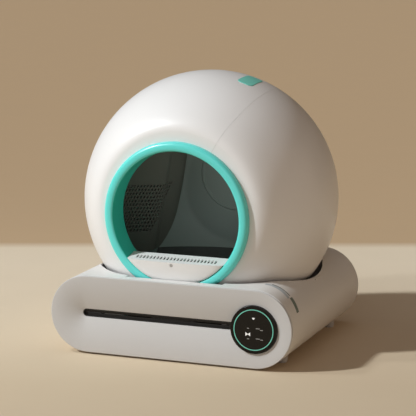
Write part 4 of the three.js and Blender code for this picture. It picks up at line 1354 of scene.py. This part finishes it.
@dataclass
class Drive(Assembly):
    """The rollers under the drum, the motor and its gears."""

    roller_radius: float = 0.014
    flange: float = 0.003
    flange_width: float = 0.0024
    roller_edge: float = 0.0008
    roller_facets: int = 48
    bore: float = 0.0035
    axle: float = 0.0032
    axle_edge: float = 0.0005
    axle_facets: int = 32
    centre_x: float = 0.184081
    centre_z: float = 0.138538
    case_radius: float = 0.018
    case_edge: float = 0.001
    case_groove: Profile = ((0.0, 0.006), (0.0008, 0.0068), (0.0008, 0.0092), (0.0, 0.010))
    can_radius: float = 0.017
    can_edges: tuple[float, float] = (0.0012, 0.0025)
    boss_radius: float = 0.005
    boss: float = 0.003
    motor_facets: int = 64

    def roller(self, end: str, side: Side) -> None:
        """Build one roller with its axle.

        Args:
            end: "front" or "rear".
            side: Its side.
        """
        corner = f"{end}_{side.name.lower()}"
        x = side.value * self.centre_x
        low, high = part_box(f"roller_{corner}")
        flanged, plain, way = (low.y, high.y, 1) if end == "front" else (high.y, low.y, -1)
        r, rim, e = self.roller_radius, self.roller_radius + self.flange, self.roller_edge * way
        inner = flanged + self.flange_width * way
        profile = [(self.bore, flanged), (rim, flanged), (rim, inner), (r, inner)]
        profile += [(r, plain - e), (r - self.roller_edge, plain), (self.bore, plain)]
        form = turned(f"wheel_{corner}", profile[::way], self.roller_facets, x, self.centre_z)
        self.show(form, NYLON, f"roller_{corner}", body=f"{corner}_roller")
        low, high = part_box(f"axle_{corner}")
        r, e = self.axle, self.axle_edge
        pin = rod(r, e, low.y, high.y)
        form = turned(f"pin_{corner}", pin, self.axle_facets, x, self.centre_z, closed=False)
        self.show(form, STEEL, f"axle_{corner}")
        self.dress(INNER_GREY, f"stand_{corner}")

    def motor(self) -> None:
        """Build the gearbox and the motor behind it."""
        low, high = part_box("gearbox")
        place = (self.motor_facets, (low.x + high.x) / 2, (low.z + high.z) / 2)
        r = self.case_radius
        groove = [(r - inset, low.y + along) for inset, along in self.case_groove]
        box = rod(r, self.case_edge, low.y, high.y, groove)
        self.show(turned("gear_case", box, *place, closed=False), INNER_GREY, "gearbox")
        low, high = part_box("gear_motor")
        r, tail, (e, f) = self.can_radius, high.y - self.boss, self.can_edges
        can = [(PIN_CORE, low.y), (r - e, low.y), (r, low.y + e), (r, tail - f), (r - f, tail)]
        can += [(self.boss_radius, tail), (self.boss_radius, high.y), (PIN_CORE, high.y)]
        self.show(turned("motor_can", can, *place, closed=False), STEEL, "gear_motor")
        self.dress(STEEL, "motor_bracket")
        self.dress(NYLON, "drive_pinion", edge=0.0004)

    def build(self) -> None:
        """Build the whole sub-assembly."""
        for end in ("front", "rear"):
            for side in Side:
                self.roller(end, side)
        self.motor()
        self.dress(INNER_GREY, "chute_deck", edge=0.0005)
        self.dress(BOARD_GREEN, "control_board", "pod_board", edge=0.0002)


# Base


@dataclass
class Base(Assembly):
    """The flat body with round ends, its feet and its rear plate."""

    wall: float = 0.003
    body_front: float = -0.2222
    body_rear: float = 0.2267
    seam_z: float = 0.020
    facets: int = 48
    well_gap: float = 0.008
    well_shift: float = 0.0028
    collar_room: float = 0.166
    collar_room_y: float = -0.203
    shelf_top: float = 0.1457
    shelf_thickness: float = 0.006
    shelf_inset: float = 0.009
    shelf_reach: float = 0.0565
    shelf_y: tuple[float, float] = (-0.0025, 0.0335)
    edge: float = 0.0010
    rails: tuple[float, float] = (-0.1297, 0.0949)
    rail_half: float = 0.005
    rail_y: tuple[float, float] = (-0.2072, 0.143)
    rail_z: tuple[float, float] = (0.0055, 0.0095)
    plate_shape: Profile = (
        (0.003, 0.227), (0.0008, 0.2272), (0.0, 0.228), (0.0, 0.2292),
        (0.0006, 0.2301), (0.0018, 0.2308), (0.003, REAR_Y),
    )
    socket_place: tuple[float, float] = (-0.150, 0.048)
    socket_bore: float = 0.0093
    socket_shape: Profile = (
        (PIN_CORE, 0.2107), (0.009, 0.2107), (0.009, 0.2237), (0.013, 0.2237), (0.013, 0.2267),
        (0.009, 0.2267), (0.009, 0.2291), (0.0086, 0.2295), (0.0074, 0.2295), (0.007, 0.2291),
        (0.007, 0.2137), (0.0012, 0.2137), (0.0012, 0.2276), (0.0008, 0.228), (PIN_CORE, 0.228),
    )
    bulkhead_y: tuple[float, float] = (-0.2072, -0.2042)
    bulkhead_gap: float = 0.0004
    bin_door: Profile = ((-0.1587, 0.004), (0.1239, 0.135))
    cable_hole: float = 0.020
    foot_shape: Profile = (
        (0.0096, 0.0), (0.0102, 0.0002), (0.0105, 0.0008), (0.0105, 0.003),
        (0.0114, 0.003), (0.012, 0.0036), (0.012, 0.03),
    )

    def skin(self, name: str) -> Form:
        """Give the body's skin over its full height, with soft front and rear edges."""
        r, inner, e = END_RADIUS, END_RADIUS - self.wall, self.edge
        turn = [(inner, 0.0), (r - e, 0.0), (r - e * 0.3, e * 0.3), (r, e)]
        sections = [(q, self.body_front + d) for q, d in turn]
        sections += [(q, self.body_rear - d) for q, d in turn[::-1]]
        return Form(name).skin(band_rows(sections, self.facets), closed=True)

    def cover(self, globe: Globe) -> None:
        """Build the upper cover, with the well that the globe sits in.

        Args:
            globe: The globe, whose shape the well follows.
        """
        cover = self.skin("body_cover")
        cover.carve(zone(2, -FAR, self.seam_z + GAP / 2))
        globe_reach = math.sqrt(globe.radius**2 - (globe.centre_z - self.shelf_top) ** 2)
        (y0, y1), top = self.shelf_y, self.shelf_top
        for side in Side:
            ends = (side.value * (globe_reach - self.shelf_inset), side.value * (END_X + self.shelf_reach))
            shelf = slab("shelf", (min(ends), y0, top - self.shelf_thickness), (max(ends), y1, top))
            cover.carve(shelf, Cut.JOIN)
        well = globe.space("well", self.well_gap, globe.facets)
        cover.carve(well.moved(Matrix.Translation((self.well_shift, 0, 0))))
        cover.carve(drill(self.collar_room, self.collar_room_y, 0.0, globe.facets))
        cover.soften(0.0007, angle=50, steps=2)
        self.show(cover, BASE_WHITE, "base_cover", angle=35)

    def tray(self) -> None:
        """Build the lower tray and its two rails."""
        tray = self.skin("body_tray")
        tray.carve(zone(2, self.seam_z - GAP / 2, FAR))
        (y0, y1), (z0, z1) = self.rail_y, self.rail_z
        for x in self.rails:
            tray.carve(slab("rail", (x - self.rail_half, y0, z0), (x + self.rail_half, y1, z1)), Cut.JOIN)
        tray.soften(0.0005, angle=50, steps=1)
        self.show(tray, BASE_WHITE, "base_tray", angle=35)

    def rear(self) -> None:
        """Build the rear plate and the supply socket in it."""
        rows = band_rows([(END_RADIUS - inset, y) for inset, y in self.plate_shape], self.facets)
        plate = Form("rear_plate").skin(rows)
        plate.carve(drill(self.socket_bore, 0.2, BEHIND, self.facets, *self.socket_place))
        plate.soften(0.0004, angle=60, steps=1)
        self.show(plate, BASE_WHITE, "rear_cover", angle=35)
        socket = turned("supply_socket", self.socket_shape, self.facets, *self.socket_place, closed=False)
        self.show(socket, POD_BLACK, "power_inlet")

    def bulkhead(self) -> None:
        """Build the wall behind the drawer's face."""
        plate = pushed("front_wall", stadium(END_RADIUS - self.wall - self.bulkhead_gap), *self.bulkhead_y)
        (x0, z0), (x1, z1) = self.bin_door
        plate.carve(slab("bin", (x0, -FAR, z0), (x1, FAR, z1)))
        plate.carve(drill(self.cable_hole, BEFORE, 0.0, self.facets, END_X, MIDDLE_Z))
        plate.soften(0.0005, angle=50, steps=1)
        self.show(plate, INNER_GREY, "front_bulkhead")

    def foot(self, end: str, side: Side) -> None:
        """Build one round foot under the base's curved end.

        Args:
            end: "front" or "rear".
            side: Its side.
        """
        corner = f"{end}_{side.name.lower()}"
        low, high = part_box(f"foot_{corner}")
        x, y = (low.x + high.x) / 2, (low.y + high.y) / 2
        turns = [2 * math.pi * i / self.facets for i in range(self.facets)]
        rounds = [(math.cos(a), math.sin(a)) for a in turns]
        rows = [[Vector((x + r * u, y + r * v, z)) for u, v in rounds] for r, z in self.foot_shape]
        form = Form(f"pad_{corner}").skin(rows)
        form.carve(pushed("room", stadium(END_RADIUS + GAP), -FAR, FAR))
        # The feet wear the darker copy of the base's white, with painted shade.
        self.show(form, SHADED_FACE_WHITE, f"foot_{corner}")

    def build(self, globe: Globe) -> None:
        """Build the whole sub-assembly.

        Args:
            globe: The globe that sits in the base.
        """
        self.cover(globe)
        self.tray()
        self.rear()
        self.bulkhead()
        for end in ("front", "rear"):
            for side in Side:
                self.foot(end, side)


# Pod


@dataclass
class Pod(Assembly):
    """The round control pod at the right end of the front. Its symbols are in millimetres."""

    x: float = END_X
    radius: float = 0.0496
    front_y: float = -0.231
    back_y: float = -0.2075
    wall: float = 0.003
    edge: float = 0.0012
    facets: int = 96
    lens_thickness: float = 0.003
    lens_edge: float = 0.0004
    groove: float = 0.0015
    groove_gap: float = 0.0002
    light_outer: float = 0.0424
    light_inner: float = 0.0407
    light_y: tuple[float, float] = (0.0001, 0.0012)
    mark_y: tuple[float, float] = (-0.00012, 0.0003)
    fan_middle: float = 21.0
    fan_radius: float = 4.6
    bow: tuple[Profile, ...] = (
        ((-16.8, -13.2), (-13.0, -10.2), (-13.0, -8.2), (-16.8, -5.4)),
        ((-6.8, -13.2), (-6.8, -5.4), (-10.6, -8.2), (-10.6, -10.2)),
        ((-12.8, -10.0), (-10.8, -10.0), (-10.8, -8.4), (-12.8, -8.4)),
    )
    bars: tuple[tuple[float, float, float], ...] = (
        (9.4, 3.6, 8.4), (17.2, 0.8, 6.0), (9.6, -17.4, 8.4),
        (17.6, -19.0, 6.0), (-11.4, 3.0, 4.0), (-11.2, -18.8, 4.4),
    )
    bar_half: float = 0.7

    def round_form(self, name: str, profile: Profile, closed: bool = False) -> Form:
        """Turn a profile about the pod's own axis."""
        return turned(name, profile, self.facets, self.x, MIDDLE_Z, closed)

    def housing(self) -> None:
        """Build the cup with its rounded rim."""
        r, e, inner, front = self.radius, self.edge, self.radius - self.wall, self.front_y
        floor = self.back_y - self.wall
        profile = [(CORE, self.back_y), (r, self.back_y)]
        profile += bend((r, front + e), (r, front), (r - e, front), 8)
        profile += [(inner, front), (inner, floor), (CORE, floor)]
        self.show(self.round_form("pod_cup", profile), POD_BLACK, "pod_housing")

    def lens(self) -> None:
        """Build the black lens, with a groove for the ring of light."""
        r, e, front = self.radius - self.wall - GAP, self.lens_edge, self.front_y
        back, deep = front + self.lens_thickness, front + self.groove
        a, b = self.light_outer + self.groove_gap, self.light_inner - self.groove_gap
        profile = [(CORE, front), (b, front), (b, deep), (a, deep), (a, front), (r - e, front)]
        profile += [(r, front + e), (r, back), (CORE, back)]
        self.show(self.round_form("pod_window", profile), POD_BLACK, "pod_lens")
        near, far = (front + y for y in self.light_y)
        a, b = self.light_outer, self.light_inner
        loop = [(b, far), (b, near), (a, near), (a, far)]
        self.show(self.round_form("pod_light", loop, closed=True), RING_LIGHT, "light_ring")

    def mark(self, form: Form, outline: Profile) -> None:
        """Add one flat symbol on the lens."""
        places = [(self.x + u / 1000, MIDDLE_Z + v / 1000) for u, v in outline]
        form.skin([[Vector((x, self.front_y + y, z)) for x, z in places] for y in self.mark_y])

    def symbols(self) -> None:
        """Build the plain symbols: a fan, a bow and short bars."""
        bright, faint = Form("pod_symbols"), Form("pod_bars")
        turns = [math.radians(-42 + 12 * i) for i in range(8)]
        r, up = self.fan_radius, self.fan_middle
        self.mark(bright, [(0.0, up), *((r * math.sin(a), up + r * math.cos(a)) for a in turns)])
        for outline in self.bow:
            self.mark(bright, outline)
        for u, v, length in self.bars:
            left, right, low, high = u - length / 2, u + length / 2, v - self.bar_half, v + self.bar_half
            self.mark(faint, [(left, low), (right, low), (right, high), (left, high)])
        self.show(bright, SYMBOL_LIGHT)
        self.show(faint, BAR_LIGHT)

    def build(self) -> None:
        """Build the whole sub-assembly."""
        self.housing()
        self.lens()
        self.symbols()


# Drawer


@dataclass
class Drawer(Assembly):
    """The waste drawer: its dished face, the finger slot, the bin and its ring."""

    body = "drawer"
    thickness: float = 0.006
    lip: float = 0.003
    plug_radius: float = 0.0774
    dish_depth: float = 0.014
    dish_wall: float = 0.004
    dish_rim: float = 0.003
    dish_even: float = 0.1
    dish_power: float = 1.9
    dish_steps: int = 20
    slot_radius: float = 0.008
    slot_edge: float = 0.0008
    slot_left: float = -0.190
    slot_wall: float = 0.009
    pod_room: float = 0.0502
    pod_facets: int = 96
    edge: float = 0.0018
    face_facets: int = 40
    sleeve_right: float = 0.1234
    sleeve_flange: float = 0.003
    sleeve_floor: float = 0.001
    sleeve_y: tuple[float, float] = (-0.2107, -0.2087)
    sleeve_facets: int = 24
    gasket_y: float = -0.2227
    gasket_shape: Profile = (
        (0.0775, 0.0), (0.0775, 0.002), (0.0765, 0.003), (0.0725, 0.003), (0.0715, 0.002), (0.0715, 0.0),
    )
    bin_left: float = -0.1557
    bin_right: float = 0.1209
    bin_front: float = -0.2084
    bin_rear: float = 0.143
    bin_floor: float = 0.0098
    bin_wall: float = 0.0025
    bin_radius: float = 0.2375
    corner: float = 0.006
    foot_edges: Profile = ((0.0015, 0.0), (0.0004, 0.0004), (0.0, 0.0015))
    floor_edge: float = 0.002
    ring_inset: float = 0.012
    ring_thickness: float = 0.0024
    ring_edge: float = 0.0006

    def face(self) -> None:
        """Build the face: it slopes in from its round edge, ever steeper, to the slot."""
        r, e, plug, slot, left = END_RADIUS, self.edge, self.plug_radius, self.slot_radius, self.slot_left
        rim, lip, back = (FRONT_Y + y for y in (self.thickness, self.lip, self.dish_depth + self.dish_wall))
        ends = (-END_X, END_X)
        sections = [(plug, *ends, lip), (r - 0.0004, *ends, lip), (r, *ends, lip - 0.0004)]
        sections += [(q, *ends, y) for q, y in bend((r, FRONT_Y + e), (r, FRONT_Y), (r - e, FRONT_Y), 6)]
        top, low = r - self.dish_rim, slot + self.slot_edge
        for i in range(1, self.dish_steps + 1):
            t = i / self.dish_steps
            fall = self.dish_depth * (self.dish_even * t + (1 - self.dish_even) * t**self.dish_power)
            sections.append((top + (low - top) * t, -END_X + (left + END_X) * t, END_X, FRONT_Y + fall))
        sections += [(slot, left, END_X, FRONT_Y + self.dish_depth + 0.001), (slot, left, END_X, back)]
        sections += [(slot + self.slot_wall, left, END_X, back), (r - self.slot_wall, *ends, rim - 0.0002)]
        sections += [(plug, *ends, rim)]
        face = Form("drawer_face").skin(ring_rows(sections, self.face_facets), closed=True)
        face.carve(drill(self.pod_room, BEFORE, -0.1, self.pod_facets, END_X, MIDDLE_Z))
        face.soften(0.0004, angle=60, steps=1)
        # The face wears the darker copy of the base's white, with painted shade.
        self.show(face, SHADED_FACE_WHITE, "drawer_front", angle=24)

    def slot(self) -> None:
        """Build the dark lining of the finger slot and the drawer's gasket."""
        outer, inner = self.slot_radius - GAP, self.slot_radius - 0.002
        front, (flange, back) = FRONT_Y + self.dish_depth + GAP, self.sleeve_y
        wide, floor = self.slot_radius + self.sleeve_flange, back - self.sleeve_floor
        profile = [(outer, front), (outer, flange), (wide, flange), (wide, back), (0.001, back)]
        profile += [(0.001, floor), (inner, floor), (inner, front)]
        rows = band_rows(profile, self.sleeve_facets, self.slot_left, self.sleeve_right)
        self.show(Form("slot_sleeve").skin(rows, closed=True), SLOT_DARK, "slot_liner")
        rows = band_rows([(r, self.gasket_y + y) for r, y in self.gasket_shape], self.face_facets)
        self.show(Form("face_gasket").skin(rows, closed=True), RUBBER, "drawer_seal")

    def loop(self, inset: float, corner: float, level: float | None = None, lift: float = 0.0) -> Row:
        """Give one loop round the bin, level or along the deck's curve.

        Args:
            inset: How far inside the bin's outline it runs.
            corner: The radius of its corners.
            level: Its height, or nothing where it follows the curve.
            lift: How far above the bin's own rim it runs where it follows the curve.

        Returns:
            The loop.
        """
        low = (self.bin_left + inset, self.bin_front + inset)
        high = (self.bin_right - inset, self.bin_rear - inset)
        radius = self.bin_radius - lift
        outline = rounded(low, high, corner, 5, 26)
        if level is not None:
            return [Vector((x, y, level)) for x, y in outline]
        return [Vector((x, y, AXIS_Z - math.sqrt(radius * radius - x * x))) for x, y in outline]

    def bin(self) -> None:
        """Build the bin, whose rim follows the deck's curve."""
        w, c, e, floor = self.bin_wall, self.corner, self.floor_edge, self.bin_floor
        rows = [self.loop(inset, c - inset, floor + up) for inset, up in self.foot_edges]
        rows += [self.loop(0, c), self.loop(w, c - w), self.loop(w, c - w, floor + w + e)]
        rows += [self.loop(w + e, c - w - e, floor + w)]
        self.show(Form("waste_tub").skin(rows), INNER_GREY, "waste_bin", angle=30)

    def ring(self) -> None:
        """Build the frame that holds the bag's edge on the bin's rim."""
        t, i, c, e = self.ring_thickness, self.ring_inset, self.corner, self.ring_edge
        inner = 0.002
        shape = [(0, 0, c), (0, t - e, c), (e, t, c - e)]
        shape += [(i - e, t, inner + e), (i, t - e, inner), (i, 0, inner)]
        rows = [self.loop(inset, corner, lift=GAP + up) for inset, up, corner in shape]
        self.show(Form("bag_frame").skin(rows, closed=True), INNER_GREY, "bag_ring", angle=40)

    def build(self) -> None:
        """Build the whole sub-assembly."""
        self.face()
        self.slot()
        self.bin()
        self.ring()
        self.dress(CARBON, "filter_box", edge=0.0012)


# Studio

COOL = (0.90, 0.96, 1.0)
PALE = (0.97, 0.97, 1.0)
WARM = (1.0, 0.76, 0.56)
LAMP = (1.0, 1.0, 0.94)
FILL = (1.0, 0.70, 0.48, 1.0)


@dataclass(frozen=True)
class Sun:
    """A broad light that is the same all over the scene, with its angles in degrees."""

    name: str
    energy: float
    spread: float
    colour: Tint
    azimuth: float
    elevation: float


KEY = Sun("key_far", 2.36, 3.5, COOL, -51.0, 38.0)
SUNS = (
    KEY,
    Sun("top", 0.24, 70.0, PALE, -56.0, 75.0),
    Sun("bounce", 0.36, 60.0, WARM, 100.0, 10.0),
    Sun("front", 0.4, 40.0, PALE, 4.0, 12.0),
)


@dataclass
class Studio:
    """The camera, the floor and the lights."""

    azimuth: float = 21.04
    elevation: float = 10.76
    distance: float = 4.159
    lens: float = 168.775
    sensor: float = 36.0
    reach: float = 100.0
    target: tuple[float, float, float] = (-0.00456, 0.006, 0.27956)
    pale_floor: float = 0.92
    rise_start: float = 1.3
    rise: float = 0.9
    wall_edge: float = 14.0
    wall: str = "d2b48e"
    # The floor's paler colour towards the back: painted light.
    ground: str = "d8c3a5"
    painted_lit_ground: str = "f8e7cc"
    mottle: str = "b9a58c"
    mottle_share: float = 0.10
    floor_radius: float = 14.0
    near_distance: float = 1.3
    near_size: float = 0.09
    near_energy: float = 4.1
    near_z: float = 0.25
    lamp_radius: float = 0.07
    lamp_energy: float = 0.17
    lamp_place: tuple[float, float, float] = (0.02, 0.03, 0.34)
    fill: float = 0.08

    def toward(self, azimuth: float, elevation: float) -> Vector:
        """Give the direction from the object to a place round it."""
        a, e = math.radians(azimuth), math.radians(elevation)
        return Vector((math.sin(a) * math.cos(e), -math.cos(a) * math.cos(e), math.sin(e)))

    def put(self, data: bpy.types.ID, place: Vector, away: Vector) -> bpy.types.Object:
        """Put a camera or a lamp in the scene, facing against the given direction.

        Args:
            data: The camera or the lamp.
            place: Where it stands.
            away: The direction that its back faces.

        Returns:
            The object.
        """
        made = bpy.data.objects.new(data.name, data)
        bpy.context.scene.collection.objects.link(made)
        made.location = place
        made.rotation_euler = away.to_track_quat("Z", "Y").to_euler()
        return made

    def camera(self) -> None:
        """Place the camera as the photo has it."""
        data = bpy.data.cameras.new("camera")
        data.lens, data.sensor_width, data.clip_end = self.lens, self.sensor, self.reach
        back = self.toward(self.azimuth, self.elevation)
        bpy.context.scene.camera = self.put(data, Vector(self.target) + back * self.distance, back)

    def floor(self) -> None:
        """Lay a wide floor with painted light, darker at the front and paler towards the back, and darker
        well behind the object.
        """
        shader = Shader("floor_plain")
        x, y, _ = shader.axes()
        turn = math.radians(self.azimuth)
        behind = y * math.cos(turn) - x * math.sin(turn) - self.pale_floor
        # Painted light: the floor pales from its front towards the back.
        rise = shader.clamp((behind + self.rise_start) * self.rise)
        ground = shader.blend(rise, tone(self.ground), tone(self.painted_lit_ground))
        colour = shader.blend(shader.clamp(behind * self.wall_edge), ground, tone(self.wall))
        mottled = shader.blend(shader.noise(0.16, 4) * self.mottle_share, colour, tone(self.mottle))
        shader.set(Base_Color=mottled, Roughness=0.85 + shader.noise(0.03, 3) * 0.1)
        shader.bump(shader.noise(0.004, 4), 0.0003, strength=0.5)
        disc = bmesh.new()
        bmesh.ops.create_circle(disc, cap_ends=True, segments=96, radius=self.floor_radius)
        data = bpy.data.meshes.new("floor")
        disc.to_mesh(data)
        disc.free()
        made = bpy.data.objects.new("floor", data)
        bpy.context.scene.collection.objects.link(made)
        data.materials.append(shader.material)

    def lights(self) -> None:
        """Set the broad lights, the near key, the soft lamp in the drum and the even fill."""
        lamps = []
        for sun in SUNS:
            data = bpy.data.lights.new(sun.name, "SUN")
            data.energy, data.angle, data.color = sun.energy, math.radians(sun.spread), sun.colour
            lamps.append(self.put(data, Vector(), self.toward(sun.azimuth, sun.elevation)))
        near = bpy.data.lights.new("key_near", "AREA")
        near.shape, near.size, near.energy, near.color = "DISK", self.near_size, self.near_energy, COOL
        away = self.toward(KEY.azimuth, KEY.elevation)
        lamps.append(self.put(near, Vector((0, 0, self.near_z)) + away * self.near_distance, away))
        inside = bpy.data.lights.new("inside", "POINT")
        inside.shadow_soft_size, inside.energy, inside.color = self.lamp_radius, self.lamp_energy, LAMP
        lamps.append(self.put(inside, Vector(self.lamp_place), Vector((0, 0, 1))))
        lamps[-1].visible_glossy = False
        for lamp in lamps:
            lamp.visible_camera = False
        world = bpy.data.worlds.new("studio")
        world.use_nodes = True
        bpy.context.scene.world = world
        backdrop = world.node_tree.nodes["Background"].inputs
        backdrop["Color"].default_value, backdrop["Strength"].default_value = FILL, self.fill

    def build(self) -> None:
        """Set up the whole studio."""
        bpy.context.scene.view_settings.view_transform = "Standard"
        self.camera()
        self.floor()
        self.lights()


def main() -> None:
    """Build the studio and every sub-assembly round the solids."""
    logging.basicConfig(level=logging.INFO, format="%(message)s")
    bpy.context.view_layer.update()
    Studio().build()
    globe = Globe()
    globe.build()
    Entry().build()
    Drum().build()
    Drive().build()
    Base().build(globe)
    Pod().build()
    Drawer().build()


if __name__ == "__main__":
    main()
